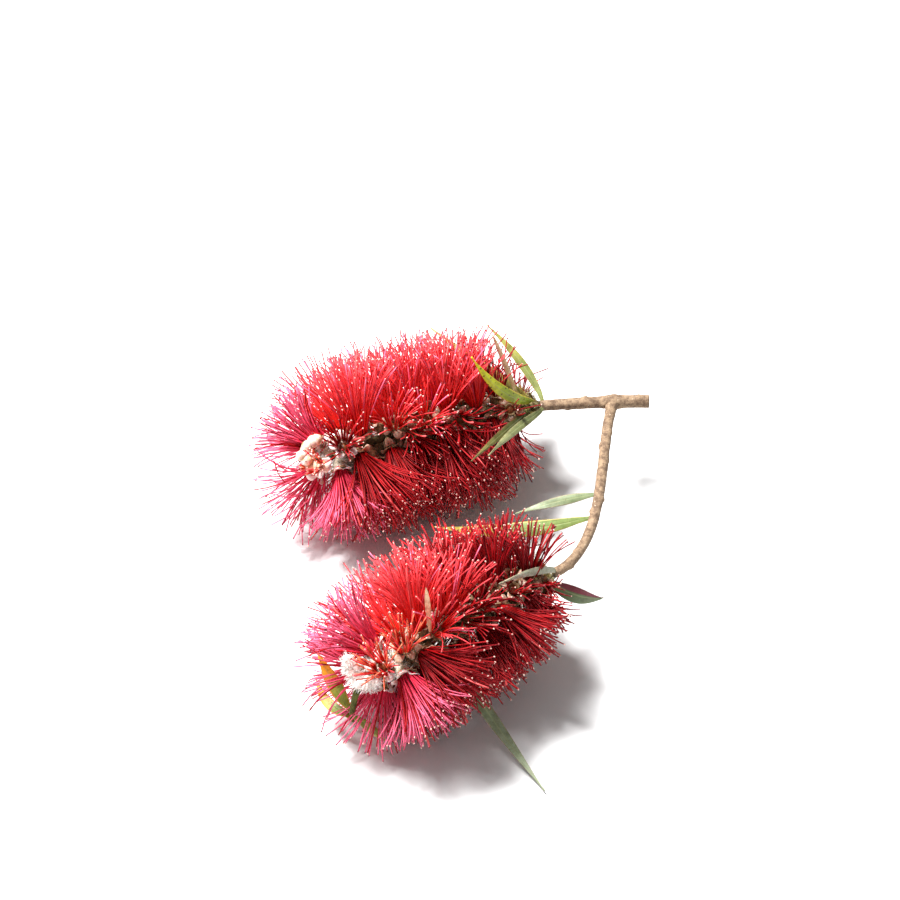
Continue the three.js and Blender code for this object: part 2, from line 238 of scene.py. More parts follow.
BRACT_HAIR_RADII = (0.08, 0.06, 0.02)
DOWN = HairSizes((1.4, 5.2), 2.0, (-0.2, 1.2), 0.3, (0.7, 1.5), 0.9, 0.0, (0.07, 0.055, 0.015))
WOOL = HairSizes((1.6, 5.6), 2.1, (-0.1, 1.0), 0.0, (1.4, 3.4), 0.0, 0.5, WOOL_RADII)


# ---- Shared helpers ----


class Seeded:
    """A repeatable stream of numbers, the minimal standard generator."""

    MODULUS = 2147483647
    FACTOR = 48271

    def __init__(self, seed: int) -> None:
        """Starts the stream at a seed."""
        self.state = seed

    def spread(self, half: float) -> float:
        """Returns the stream's next number, within half of zero on either side."""
        self.state = (self.state * self.FACTOR) % self.MODULUS
        return (2.0 * self.state / self.MODULUS - 1.0) * half


def mix(a: float, b: float, t: float) -> float:
    """Returns the value a share t of the way from a to b."""
    return a + (b - a) * t


def direction(heading: float, rise: float = 0.0) -> Vector:
    """Returns the unit vector of a heading and a rise, both in degrees."""
    h, r = math.radians(heading), math.radians(rise)
    return Vector((math.cos(r) * math.cos(h), math.cos(r) * math.sin(h), math.sin(r)))


def square_to(vector: Vector, axis: Vector) -> Vector:
    """Returns the part of a vector that is square to an axis, at unit length."""
    return (vector - axis * vector.dot(axis)).normalized()


def turned(vector: Vector, axis: Vector, angle: float) -> Vector:
    """Returns a vector turned about an axis by an angle in radians."""
    return Quaternion(axis, angle) @ vector


def unit(ways: np.ndarray) -> np.ndarray:
    """Returns vectors at unit length, along the last axis."""
    return ways / (np.linalg.norm(ways, axis=-1, keepdims=True) + 1e-12)


def round_z(angle: float, height: float = 0.0) -> np.ndarray:
    """Returns the point at radius 1 round Z, at an angle in radians and a height."""
    return np.array([math.cos(angle), math.sin(angle), height])


def hair_line(
    root: np.ndarray, way: np.ndarray, length: float, curl: np.ndarray, stations: int
) -> np.ndarray:
    """Returns a hair's stations from its root along a way, with its middle off the line by curl."""
    t = np.linspace(0.0, 1.0, stations)[:, None]
    return root + unit(way) * length * t + curl * np.sin(math.pi * t)


class Path:
    """A Bezier curve that is walked by the share of its length."""

    DIVISIONS = 200

    def __init__(self, *points: Vector) -> None:
        """Measures the curve of two to four control points."""
        self.points = points
        self.shares = np.linspace(0.0, 1.0, self.DIVISIONS + 1)
        steps = [self._drawn_in(t, 1)[0] for t in self.shares.tolist()]
        gaps = [(b - a).length for a, b in zip(steps, steps[1:])]
        self.lengths = np.concatenate([[0.0], np.cumsum(gaps)])
        self.length = float(self.lengths[-1])

    def _drawn_in(self, t: float, left: int) -> Sequence[Vector]:
        """Draws the control points in on each other until only some are left.

        Args:
            t: the curve's own parameter.
            left: how many points are left.

        Returns:
            The points that are left.
        """
        row = self.points
        while len(row) > left:
            row = [a.lerp(b, t) for a, b in zip(row, row[1:])]
        return row

    def _natural(self, share: float) -> float:
        """Returns the curve's own parameter at a share of its length."""
        return float(np.interp(share * self.length, self.lengths, self.shares))

    def at(self, share: float) -> Vector:
        """Returns the point at a share of the curve's length."""
        return self._drawn_in(self._natural(share), 1)[0]

    def tangent(self, share: float) -> Vector:
        """Returns the unit tangent at a share of the curve's length."""
        a, b = self._drawn_in(self._natural(share), 2)
        return (b - a).normalized()


class Plan:
    """The sprig's stems and leaves in the layout's millimetres, by the rule of the frame's source."""

    def __init__(self) -> None:
        """Works out the two spikes' axes, the twigs' paths and the leaves."""
        axes = {name: self._spike_axis(sizes) for name, sizes in SPIKES.items()}
        main = self._main_path(axes["upper_bloom"])
        side = self._side_path(main, axes["lower_bloom"])
        shoot = self._shoot_path(axes["lower_bloom"])
        self.stems = {"main": main, "side": side, "shoot": shoot, **axes}
        self.leaves = {name: LeafLay(sizes, self.stems[sizes.stem]) for name, sizes in LEAVES.items()}

    @staticmethod
    def _spike_axis(sizes: SpikeSizes) -> Path:
        """Plans the axis of a spike, level and bowed to one side.

        Args:
            sizes: the spike's sizes.

        Returns:
            The axis.
        """
        base, angle = Vector((*sizes.base, sizes.height)), math.radians(sizes.heading)
        bend, end = Vector((sizes.length / 2, -2 * sizes.bow, 0)), LEVEL * sizes.length
        return Path(base, base + turned(bend, UP, angle), base + turned(end, UP, angle))

    @staticmethod
    def _main_path(upper: Path) -> Path:
        """Plans the main twig.

        Args:
            upper: the upper spike's axis.

        Returns:
            The path from the cut end to that axis.
        """
        half = TWIG.main_length / 2
        bend = upper.at(0) - upper.tangent(0) * half
        return Path(bend + LEVEL * half, bend, upper.at(0))

    @staticmethod
    def _side_path(main: Path, lower: Path) -> Path:
        """Plans the side branch.

        Args:
            main: the main twig's path, which has the fork.
            lower: the lower spike's axis.

        Returns:
            The path from the fork to the lower spike.
        """
        fork = main.at(TWIG.fork_from_cut / main.length)
        leave = fork + direction(TWIG.side_first_heading) * TWIG.side_leaves_main
        join = lower.at(0) - lower.tangent(0) * TWIG.side_joins_spike
        return Path(fork, leave, join, lower.at(0))

    @staticmethod
    def _shoot_path(lower: Path) -> Path:
        """Plans the young shoot, which droops past the lower spike.

        Args:
            lower: the lower spike's axis.

        Returns:
            The path from that axis's far end to the shoot's tip.
        """
        bend = lower.at(1) + lower.tangent(1) * TWIG.shoot_reach
        drop = direction(TWIG.shoot_heading, TWIG.shoot_rise) * TWIG.shoot_drop
        return Path(lower.at(1), bend, bend + drop)


def stem_radius(stem: str, share: float) -> float:
    """Returns a stem's radius at a share of its length."""
    return mix(*STEM_RADII[stem], share)


class LeafLay:
    """How one leaf lies: its midrib, the way its blade faces and its width."""

    def __init__(self, sizes: LeafSizes, path: Path) -> None:
        """Lays the leaf by its sizes.

        Args:
            sizes: the leaf's sizes.
            path: the stem that it grows on.
        """
        station = 1.0 - sizes.along / path.length
        chord = direction(sizes.heading, sizes.rise)
        out = square_to(chord, path.tangent(station))
        foot = path.at(station) + out * (stem_radius(sizes.stem, station) + LEAF_FOOT_GAP)
        self.sizes = sizes
        self.across = turned(direction(sizes.heading + 90.0), chord, math.radians(sizes.roll))
        self.sink = out * -(LEAF_FOOT_SINK + LEAF_FOOT_GAP)
        middle = foot + chord * (sizes.length / 2)
        middle += chord.cross(self.across) * (2 * sizes.arch) + self.across * (2 * sizes.sway)
        self.midrib = Path(foot, middle, foot + chord * sizes.length)

    def half_width(self, t: float) -> float:
        """Returns the blade's half width at a share of its length."""
        swell = max(0.0, math.sin(math.pi * t**LEAF_SKEW)) ** LEAF_TAPER
        return max(LEAF_THINNEST, LEAF_PETIOLE * (1.0 - t) ** 2 + swell * self.sizes.width / 2)

    def point(self, t: float, side: float) -> Vector:
        """Finds a point of the blade's middle surface.

        Args:
            t: share of the way from the foot to the tip.
            side: from -1 at one edge, through 0 on the midrib, to 1 at the other edge.

        Returns:
            The point.
        """
        tangent = self.midrib.tangent(t)
        sideways = square_to(self.across, tangent)
        reach = side * self.half_width(t)
        return self.midrib.at(t) + sideways * reach + sideways.cross(tangent) * (abs(reach) * LEAF_FOLD)


# ---- Meshes ----


def finish_bmesh(name: str, bm: BMesh) -> Mesh:
    """Turns a bmesh in layout millimetres into a smooth mesh in the frame's metres, and frees it.

    Args:
        name: the mesh's name.
        bm: the bmesh.

    Returns:
        The mesh.
    """
    for face in bm.faces:
        face.smooth = True
    mesh = bpy.data.meshes.new(name)
    bm.to_mesh(mesh)
    bm.free()
    mesh.transform(LAYOUT_TO_FRAME)
    return mesh


def tube(path: Path, span: Span, segments: int, cuts: int, radius: Radius, foot: int = 0) -> BMesh:
    """Models a closed tube along a path.

    Args:
        path: the tube's middle line.
        span: the shares of the path at which it starts and ends.
        segments: how many sides it has.
        cuts: how many rings it has between its ends.
        radius: gives the radius, by the share of the path, the angle round it and the way out.
        foot: the material number of the face that closes its foot.

    Returns:
        The tube, in layout millimetres.
    """
    bm = bmesh.new()
    bmesh.ops.create_cone(bm, cap_ends=True, segments=segments, radius1=1.0, radius2=1.0, depth=1.0)
    uprights = [e for e in bm.edges if abs(e.verts[0].co.z - e.verts[1].co.z) > 0.5]
    bmesh.ops.subdivide_edges(bm, edges=uprights, cuts=cuts, use_grid_fill=True)
    for face in bm.faces:
        face.material_index = foot if face.normal.z < -0.9 and len(face.verts) > 4 else 0
    for vert in bm.verts:
        share = mix(*span, vert.co.z + 0.5)
        angle = math.atan2(vert.co.y, vert.co.x)
        tangent = path.tangent(share)
        side = square_to(UP, tangent)
        ring = side * math.cos(angle) + tangent.cross(side) * math.sin(angle)
        vert.co = path.at(share) + ring * radius(share, angle, ring)
    bmesh.ops.recalc_face_normals(bm, faces=bm.faces)
    return bm


def shell(columns: int, rows: int, thickness: float, point: Surface, lengthwise: int) -> BMesh:
    """Models a thin scale, closed all round.

    Args:
        columns: how many squares the grid has along X.
        rows: how many it has along Y.
        thickness: how thick the scale is.
        point: gives a point of the scale, by the share of its length and a side from -1 to 1.
        lengthwise: the number of the grid's axis that runs along the scale.

    Returns:
        The scale.
    """
    bm = bmesh.new()
    bmesh.ops.create_grid(bm, x_segments=columns, y_segments=rows, size=0.5)
    for vert in bm.verts:
        vert.co = point(vert.co[lengthwise] + 0.5, 2.0 * vert.co[1 - lengthwise])
    bmesh.ops.solidify(bm, geom=bm.faces, thickness=thickness)
    bmesh.ops.recalc_face_normals(bm, faces=bm.faces)
    return bm


def joined_mesh(name: str, points: np.ndarray, corners: np.ndarray, totals: np.ndarray) -> Mesh:
    """Builds one smooth mesh from arrays.

    Args:
        name: the mesh's name.
        points: every vertex, in layout millimetres.
        corners: the vertex number of every face corner, face after face.
        totals: how many corners each face has.

    Returns:
        The mesh, in the frame's metres.
    """
    mesh = bpy.data.meshes.new(name)
    mesh.vertices.add(len(points))
    mesh.vertices.foreach_set("co", np.ascontiguousarray(points, np.float32).ravel())
    mesh.loops.add(len(corners))
    mesh.loops.foreach_set("vertex_index", corners.astype(np.int32))
    mesh.polygons.add(len(totals))
    starts = np.concatenate([[0], np.cumsum(totals)[:-1]])
    mesh.polygons.foreach_set("loop_start", starts.astype(np.int32))
    mesh.polygons.foreach_set("use_smooth", np.ones(len(totals), bool))
    mesh.update(calc_edges=True)
    mesh.transform(LAYOUT_TO_FRAME)
    return mesh


def strand_mesh(name: str, lines: np.ndarray, radii: np.ndarray, sides: int = 3) -> Mesh:
    """Builds many thin closed strands as one mesh.

    Args:
        name: the mesh's name.
        lines: the middle lines, as strands by stations by three, in layout millimetres.
        radii: the radius at each station.
        sides: how many sides a strand has.

    Returns:
        The mesh, in the frame's metres.
    """
    strands, stations = lines.shape[:2]
    along = unit(np.gradient(lines, axis=1))
    is_flat = np.abs(along.mean(axis=1)[:, 2:3]) < 0.8
    helper = np.where(is_flat, [[0.0, 0.0, 1.0]], [[1.0, 0.0, 0.0]])
    side = unit(np.cross(helper[:, None, :], along))
    other = np.cross(along, side)
    angles = 2.0 * math.pi * np.arange(sides) / sides
    ring = side[:, :, None] * np.cos(angles)[:, None] + other[:, :, None] * np.sin(angles)[:, None]
    points = lines[:, :, None] + ring * radii[:, None, None]
    here = np.arange(sides)
    ahead = (here + 1) % sides
    rows = (np.arange(stations - 1) * sides)[:, None]
    quads = np.stack([rows + here, rows + ahead, rows + sides + ahead, rows + sides + here], axis=2)
    one = np.concatenate([quads.ravel(), here[::-1], here + (stations - 1) * sides])
    corners = one[None, :] + (np.arange(strands) * stations * sides)[:, None]
    totals = np.tile([4] * ((stations - 1) * sides) + [sides, sides], strands)
    mesh = joined_mesh(name, points.reshape(-1, 3), corners.ravel(), totals)
    shares = np.tile(np.repeat(np.linspace(0.0, 1.0, stations), sides), strands)
    mesh.attributes.new(ALONG, "FLOAT", "POINT").data.foreach_set("value", shares.astype(np.float32))
    return mesh


class Stamp:
    """A small shape, modelled once and joined into one mesh many times over."""

    def __init__(self, bm: BMesh) -> None:
        """Keeps the shape of a bmesh, and frees it.

        Args:
            bm: the bmesh, round its own origin.
        """
        bm.verts.index_update()
        self.points = np.array([v.co[:] for v in bm.verts])
        self.corners = np.array([v.index for face in bm.faces for v in face.verts])
        self.totals = np.array([len(face.verts) for face in bm.faces])
        bm.free()

    def joined(self, name: str, turns: Sequence[np.ndarray], places: Sequence[Vector]) -> Mesh:
        """Joins one copy for each place.

        Args:
            name: the mesh's name.
            turns: a 3 by 3 matrix for each copy, which turns and sizes it.
            places: where each copy's origin goes, in layout millimetres.

        Returns:
            The mesh, in the frame's metres.
        """
        points = np.einsum("nij,pj->npi", np.array(turns), self.points) + np.array(places)[:, None]
        corners = self.corners[None, :] + (np.arange(len(places)) * len(self.points))[:, None]
        return joined_mesh(name, points.reshape(-1, 3), corners.ravel(), np.tile(self.totals, len(places)))


def add_object(name: str, data: bpy.types.ID) -> Object:
    """Adds an object to the scene, at the origin.

    Args:
        name: the object's name.
        data: its mesh, light or camera.

    Returns:
        The new object.
    """
    made = bpy.data.objects.new(name, data)
    bpy.context.scene.collection.objects.link(made)
    return made


def add_piece(name: str, mesh: Mesh, slot: str, node: str, *finishes: Material) -> Object:
    """Adds a piece to the sprig.

    Args:
        name: the piece's name.
        mesh: its mesh, already in place.
        slot: the record's material slot, which is not used.
        node: the frame's node that it replaces.
        finishes: its materials, in the order of its faces' material numbers.

    Returns:
        The new object.
    """
    piece = add_object(name, mesh)
    for finish in finishes:
        mesh.materials.append(finish)
    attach(piece, BODY)
    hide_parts(node)
    log.info("%s: %d faces", name, len(mesh.polygons))
    return piece


# ---- Shader building ----


class NodeSketch:
    """Adds nodes to one node tree and links them in few words."""

    def __init__(self, tree: NodeTree) -> None:
        """Keeps the tree that the nodes go into."""
        self.tree = tree

    def add(self, kind: str, inputs: dict | None = None, **settings: object) -> Node:
        """Adds one node.

        Args:
            kind: the node's type, without its "ShaderNode".
            inputs: values or sockets by the name or number of the input.
            settings: the node's own properties.

        Returns:
            The node.
        """
        node = self.tree.nodes.new("ShaderNode" + kind)
        for key, value in settings.items():
            setattr(node, key, value)
        for key, value in (inputs or {}).items():
            self.feed(node.inputs[key], value)
        return node

    def feed(self, socket: NodeSocket, value: object) -> None:
        """Links a socket into an input, or sets the input's own value.

        Args:
            socket: the input.
            value: the socket or the value.
        """
        if isinstance(value, NodeSocket):
            self.tree.links.new(value, socket)
        else:
            socket.default_value = (*value, 1.0) if socket.type == "RGBA" else value

    def blend(self, share: object, a: object, b: object, mode: str = "MIX") -> NodeSocket:
        """Returns the colour that a share blends from a to b."""
        return self.add("Mix", {0: share, 6: a, 7: b}, data_type="RGBA", blend_type=mode).outputs[2]

    def math(self, operation: str, *values: object) -> NodeSocket:
        """Returns the result of a Math node."""
        return self.add("Math", dict(enumerate(values)), operation=operation).outputs[0]

    def ramp(self, value: object, low: float, high: float) -> NodeSocket:
        """Returns 0 below low and 1 above high, with a smooth rise between."""
        inputs = {"Value": value, "From Min": low, "From Max": high}
        return self.add("MapRange", inputs, interpolation_type="SMOOTHSTEP").outputs[0]

    def noise(self, place: object, scale: object, detail: float) -> NodeSocket:
        """Returns a noise texture's value."""
        return self.add("TexNoise", {"Vector": place, "Scale": scale, "Detail": detail}).outputs[0]


def shader_group(name: str, inputs: dict[str, str], outputs: dict[str, str]) -> tuple:
    """Starts a shader node group with named sockets.

    Args:
        name: the group's name.
        inputs: the socket type of each named input, such as Float, Color or Vector.
        outputs: the same for the outputs.

    Returns:
        The group, a sketch of it, the sockets that it is given and the sockets that it makes.
    """
    tree = bpy.data.node_groups.new(name, "ShaderNodeTree")
    for way, sockets in (("INPUT", inputs), ("OUTPUT", outputs)):
        for label, kind in sockets.items():
            tree.interface.new_socket(label, in_out=way, socket_type="NodeSocket" + kind)
    given, made = tree.nodes.new("NodeGroupInput"), tree.nodes.new("NodeGroupOutput")
    return tree, NodeSketch(tree), given.outputs, made.inputs


class Effects:
    """The surface effects that several finishes share, each one built once."""

    def __init__(self) -> None:
        """Builds the groups."""
        self.mottle = self._mottle()
        self.specks = self._specks()

    @staticmethod
    def _mottle() -> NodeTree:
        """Builds soft cloudy variation between two tones, coarse and fine together.

        Returns:
            The group.
        """
        inputs = {"Vector": "Vector", "Size": "Float", "Dark": "Color", "Light": "Color"}
        tree, sketch, given, made = shader_group("Mottle", inputs, {"Colour": "Color", "Mask": "Float"})
        coarse = sketch.noise(given[0], given[1], 4.0)
        fine = sketch.noise(given[0], sketch.math("MULTIPLY", given[1], 4.3), 3.0)
        both = sketch.math("MULTIPLY_ADD", fine, 0.4, sketch.math("MULTIPLY", coarse, 0.6))
        mask = sketch.ramp(both, 0.36, 0.64)
        sketch.feed(made[0], sketch.blend(mask, given[2], given[3]))
        sketch.feed(made[1], mask)
        return tree

    @staticmethod
    def _specks() -> NodeTree:
        """Builds small round specks, such as oil glands or pores.

        Returns:
            The group.
        """
        inputs = {"Vector": "Vector", "Size": "Float", "Amount": "Float"}
        tree, sketch, given, made = shader_group("Specks", inputs, {"Mask": "Float"})
        cells = sketch.add("TexVoronoi", {"Vector": given[0], "Scale": given[1]})
        chosen = sketch.add("SeparateColor", {0: cells.outputs["Color"]})
        near = sketch.math("SUBTRACT", 1.0, sketch.ramp(cells.outputs["Distance"], 0.12, 0.34))
        kept = sketch.math("LESS_THAN", chosen.outputs[0], given[2])
        sketch.feed(made[0], sketch.math("MULTIPLY", near, kept))
        return tree


class MaterialSketch(NodeSketch):
    """A material's nodes, with the shared effects and the Object coordinates at hand."""

    def __init__(self, tree: NodeTree, effects: Effects) -> None:
        """Starts an empty material.

        Args:
            tree: the material's node tree.
            effects: the shared groups.
        """
        super().__init__(tree)
        tree.nodes.clear()
        self.effects = effects
        self.place = self.add("TexCoord").outputs["Object"]

    def group(self, tree: NodeTree, **inputs: object) -> Node:
        """Places a group at the Object coordinates.

        Args:
            tree: the group.
            inputs: values or sockets by the name of the input.

        Returns:
            Its node.
        """
        node = self.add("Group", node_tree=tree)
        for label, value in {"Vector": self.place, **inputs}.items():
            self.feed(node.inputs[label], value)
        return node

    def clouded(self, colour: object, size: float, dark: Colour) -> NodeSocket:
        """Returns a colour that is multiplied by soft clouds from a dark tone to white."""
        cloud = self.group(self.effects.mottle, Size=size, Dark=dark, Light=WHITE)
        return self.blend(1.0, colour, cloud.outputs["Colour"], "MULTIPLY")


@dataclass(frozen=True)
class Finish:
    """A finish: the Principled BSDF's own constants. Each kind adds its colour and relief."""

    name: str
    roughness: float = 0.5
    specular: float = 0.5
    sheen: float = 0.0
    subsurface: float = 0.0
    subsurface_radius: Colour = (1.0, 0.3, 0.2)
    bump: float = 0.0
    bump_distance: float = 0.1

    def material(self, effects: Effects) -> Material:
        """Builds the material.

        Args:
            effects: the shared groups.

        Returns:
            The material.
        """
        made = bpy.data.materials.new(self.name)
        made.use_nodes = True
        sketch = MaterialSketch(made.node_tree, effects)
        constants = {
            "Roughness": self.roughness,
            "Specular IOR Level": self.specular,
            "Sheen Weight": self.sheen,
            "Subsurface Weight": self.subsurface,
            "Subsurface Radius": self.subsurface_radius,
            "Subsurface Scale": MM,
        }
        shader = sketch.add("BsdfPrincipled", constants)
        colour, height = self.pattern(sketch)
        sketch.feed(shader.inputs["Base Color"], colour)
        if height is not None:
            relief = {"Height": height, "Strength": self.bump, "Distance": self.bump_distance * MM}
            sketch.feed(shader.inputs["Normal"], sketch.add("Bump", relief).outputs[0])
        sketch.add("OutputMaterial", {0: shader.outputs[0]})
        return made

    def pattern(self, sketch: MaterialSketch) -> tuple[NodeSocket, NodeSocket | None]:
        """Returns the base colour's socket, and the relief's height or None."""
        raise NotImplementedError


@dataclass(frozen=True)
class MottledFinish(Finish):
    """A finish of two tones that drift into each other, with matching relief and, if asked, specks."""

    dark: Colour = (0.2, 0.2, 0.2)
    light: Colour = (0.4, 0.4, 0.4)
    size: float = 400.0
    speck: Colour = (0.1, 0.1, 0.1)
    speck_size: float = 900.0
    speck_amount: float = 0.0

    def pattern(self, sketch: MaterialSketch) -> tuple[NodeSocket, NodeSocket | None]:
        """Mottles the finish.

        Args:
            sketch: the material's nodes.

        Returns:
            The colour, and the mottling as its height if the finish has relief.
        """
        tones = sketch.group(sketch.effects.mottle, Size=self.size, Dark=self.dark, Light=self.light)
        colour = tones.outputs["Colour"]
        if self.speck_amount > 0:
            dots = sketch.group(sketch.effects.specks, Size=self.speck_size, Amount=self.speck_amount)
            colour = sketch.blend(dots.outputs["Mask"], colour, self.speck)
        return colour, tones.outputs["Mask"] if self.bump > 0 else None


@dataclass(frozen=True)
class ThreadFinish(Finish):
    """A filament's finish: one tone at the foot drifts into another at the tip, the pinker tip tone being
    painted highlight on the stamens' outer parts.
    """

    roughness: float = 0.48
    specular: float = 0.16
    foot: Colour = (0.7, 0.02, 0.02)
    tip: Colour = (0.85, 0.12, 0.12)
    shade: Colour = (0.72, 0.55, 0.55)
    size: float = 260.0
    drift: Span = (0.15, 0.85)

    def pattern(self, sketch: MaterialSketch) -> tuple[NodeSocket, NodeSocket | None]:
        """Colours the filament from foot to tip.

        Args:
            sketch: the material's nodes.

        Returns:
            The colour, and no height.
        """
        walked = sketch.add("Attribute", attribute_name=ALONG).outputs["Fac"]
        tone = sketch.blend(sketch.ramp(walked, *self.drift), self.foot, self.tip)
        return sketch.clouded(tone, self.size, self.shade), None


@dataclass(frozen=True)
class BladeFinish(Finish):
    """A leaf blade: a drift of colour from foot to tip, coloured margins, veins and oil glands."""

    roughness: float = 0.42
    specular: float = 0.4
    subsurface: float = 0.06
    bump: float = 0.35
    foot: Colour = (0.2, 0.3, 0.1)
    tip: Colour = (0.2, 0.3, 0.1)
    margin: Colour = (0.3, 0.3, 0.1)
    vein: Colour = (0.4, 0.45, 0.2)
    vein_share: float = 0.3
    spot: Colour = (0.08, 0.08, 0.03)
    spots: float = 0.12
    spot_size: float = 1500.0
    cloud_size: float = 160.0
    shade: Colour = (0.68, 0.68, 0.62)
    shade_size: float = 520.0
    turn: float = 0.55
    turn_half: float = 0.25
    margin_reach: float = 0.75
    margin_fade: float = 0.2
    streaks: Triple = (22.0, 1.6, 1.0)
    one_sided: bool = False

    def pattern(self, sketch: MaterialSketch) -> tuple[NodeSocket, NodeSocket | None]:
        """Draws the blade's drift, margins, veins and glands.

        Args:
            sketch: the material's nodes.

        Returns:
            The colour and the height.
        """
        chart = sketch.add("UVMap", uv_map=CHART).outputs[0]
        sideways, along = sketch.add("SeparateXYZ", {0: chart}).outputs[:2]
        signed = sketch.math("MULTIPLY_ADD", sideways, 2.0, -1.0)
        off_middle = signed if self.one_sided else sketch.math("ABSOLUTE", signed)
        cloud = sketch.noise(sketch.place, self.cloud_size, 3.0)
        drift = sketch.math("MULTIPLY_ADD", cloud, 0.5, sketch.math("SUBTRACT", along, 0.25))
        turning = sketch.ramp(drift, self.turn - self.turn_half, self.turn + self.turn_half)
        body = sketch.blend(turning, self.foot, self.tip)
        edge = sketch.math("MULTIPLY_ADD", cloud, 0.3, sketch.math("SUBTRACT", off_middle, 0.15))
        edging = sketch.ramp(edge, self.margin_reach, self.margin_reach + self.margin_fade)
        toned = sketch.clouded(sketch.blend(edging, body, self.margin), self.shade_size, self.shade)
        middle = sketch.math("SUBTRACT", 1.0, sketch.ramp(sketch.math("ABSOLUTE", signed), 0.03, 0.14))
        veined = sketch.blend(sketch.math("MULTIPLY", middle, self.vein_share), toned, self.vein)
        glands = sketch.group(sketch.effects.specks, Size=self.spot_size, Amount=self.spots).outputs["Mask"]
        streak_place = sketch.add("Mapping", {"Vector": chart, "Scale": self.streaks}).outputs[0]
        streaks = sketch.noise(streak_place, 1.0, 2.0)
        height = sketch.math("ADD", streaks, sketch.math("MULTIPLY", middle, -1.2))
        return sketch.blend(glands, veined, self.spot), sketch.math("MULTIPLY_ADD", glands, 0.5, height)


@dataclass(frozen=True)
class CutWoodFinish(Finish):
    """The cut end of the main twig: pale wood in rings round a darker pith."""

    roughness: float = 0.8
    bump: float = 0.4
    middle: Span = (0.0, 0.0)
    wood: Colour = (0.52, 0.42, 0.24)
    ring: Colour = (0.40, 0.29, 0.15)
    ring_step: float = 0.55
    pith: Colour = (0.22, 0.13, 0.07)
    pith_edge: Span = (0.22 * MM, 0.42 * MM)
    rim: Colour = (0.16, 0.22, 0.06)
    rim_edge: Span = (1.55 * MM, 1.75 * MM)

    def pattern(self, sketch: MaterialSketch) -> tuple[NodeSocket, NodeSocket | None]:
        """Draws the rings, the pith and the rim of bark.

        Args:
            sketch: the material's nodes.

        Returns:
            The colour, and a cloud as the height of the rough cut.
        """
        shift = {"Location": (0.0, -self.middle[0], -self.middle[1]), "Scale": (0.0, 1.0, 1.0)}
        centred = sketch.add("Mapping", {"Vector": sketch.place, **shift}).outputs[0]
        out = sketch.add("VectorMath", {0: centred}, operation="LENGTH").outputs["Value"]
        cloud = sketch.noise(sketch.place, 1400.0, 3.0)
        wave = sketch.math("SINE", sketch.math("MULTIPLY", out, 2.0 * math.pi / (self.ring_step * MM)))
        mask = sketch.ramp(sketch.math("MULTIPLY_ADD", cloud, 1.2, wave), -0.2, 1.6)
        wood = sketch.blend(mask, self.wood, self.ring)
        cored = sketch.blend(sketch.ramp(out, *self.pith_edge), self.pith, wood)
        return sketch.blend(sketch.ramp(out, *self.rim_edge), cored, self.rim), cloud


# ---- The finishes ----


class Tint(Enum):
    """The tones that whole flowers' stamens are dealt. Scarlet and crimson stand for one red in painted
    light and painted shade; wine is partly the older flowers' tone and partly painted shade; rose is partly
    the young flowers' tone and partly painted light.
    """

    SCARLET = "scarlet"
    CRIMSON = "crimson"
    ROSE = "rose"
    WINE = "wine"
    EMBER = "ember"


# Foot and tip tones of each tint. Scarlet is painted light on flowers that face up and back; crimson and
# wine on the underside are painted shade; rose is partly painted light.
STAMEN_TONES = {
    Tint.SCARLET: ((1.0, 0.026, 0.016), (1.0, 0.085, 0.10)),
    Tint.CRIMSON: ((0.46, 0.003, 0.005), (0.52, 0.014, 0.020)),
    Tint.ROSE: ((0.88, 0.03, 0.09), (0.98, 0.19, 0.33)),
    Tint.WINE: ((0.24, 0.003, 0.006), (0.31, 0.008, 0.014)),
    Tint.EMBER: ((0.66, 0.014, 0.006), (0.90, 0.20, 0.10)),
}
ODD_TINTS = {
    Tint.SCARLET: (Tint.ROSE, 0.1),
    Tint.CRIMSON: (Tint.WINE, 0.35),
    Tint.ROSE: (Tint.CRIMSON, 0.15),
    Tint.WINE: (Tint.CRIMSON, 0.3),
    Tint.EMBER: (Tint.SCARLET, 0.3),
}
GREY_GREEN = ((0.20, 0.25, 0.13), (0.30, 0.35, 0.22), (0.32, 0.30, 0.18))
BLADE_TONES = {
    "upper_leaf_1": ((0.38, 0.52, 0.02), (0.80, 0.86, 0.03), (0.88, 0.74, 0.04)),
    "upper_leaf_2": ((0.20, 0.23, 0.05), (0.42, 0.42, 0.10), (0.40, 0.30, 0.08)),
    "upper_leaf_3": ((0.30, 0.26, 0.06), (0.60, 0.34, 0.10), (0.62, 0.30, 0.10)),
    "upper_leaf_4": ((0.11, 0.12, 0.03), (0.19, 0.17, 0.05), (0.22, 0.12, 0.05)),
    "upper_leaf_5": ((0.16, 0.18, 0.07), (0.27, 0.28, 0.13), (0.30, 0.27, 0.14)),
    "side_leaf_1": ((0.22, 0.30, 0.09), (0.62, 0.46, 0.06), (0.46, 0.38, 0.08)),
    "side_leaf_2": GREY_GREEN,
    # lower_leaf_1's dark red margin tone is partly the leaf's own red edge and partly painted shade on the
    # half that turns under.
    "lower_leaf_1": ((0.10, 0.15, 0.05), (0.16, 0.21, 0.09), (0.24, 0.03, 0.05)),
    "lower_leaf_2": ((0.34, 0.36, 0.24), (0.52, 0.52, 0.40), (0.50, 0.46, 0.32)),
    "lower_leaf_3": GREY_GREEN,
    # tip_leaf_1 and tip_leaf_2: the orange tips are the young leaves' own colour, brightened as painted
    # light because the leaves sit in the brush's shade.
    "tip_leaf_1": ((0.34, 0.42, 0.06), (0.95, 0.42, 0.03), (0.92, 0.34, 0.04)),
    "tip_leaf_2": ((0.22, 0.32, 0.03), (0.78, 0.46, 0.03), (0.76, 0.40, 0.04)),
    "tip_leaf_3": ((0.26, 0.36, 0.06), (0.40, 0.46, 0.12), (0.50, 0.40, 0.10)),
}
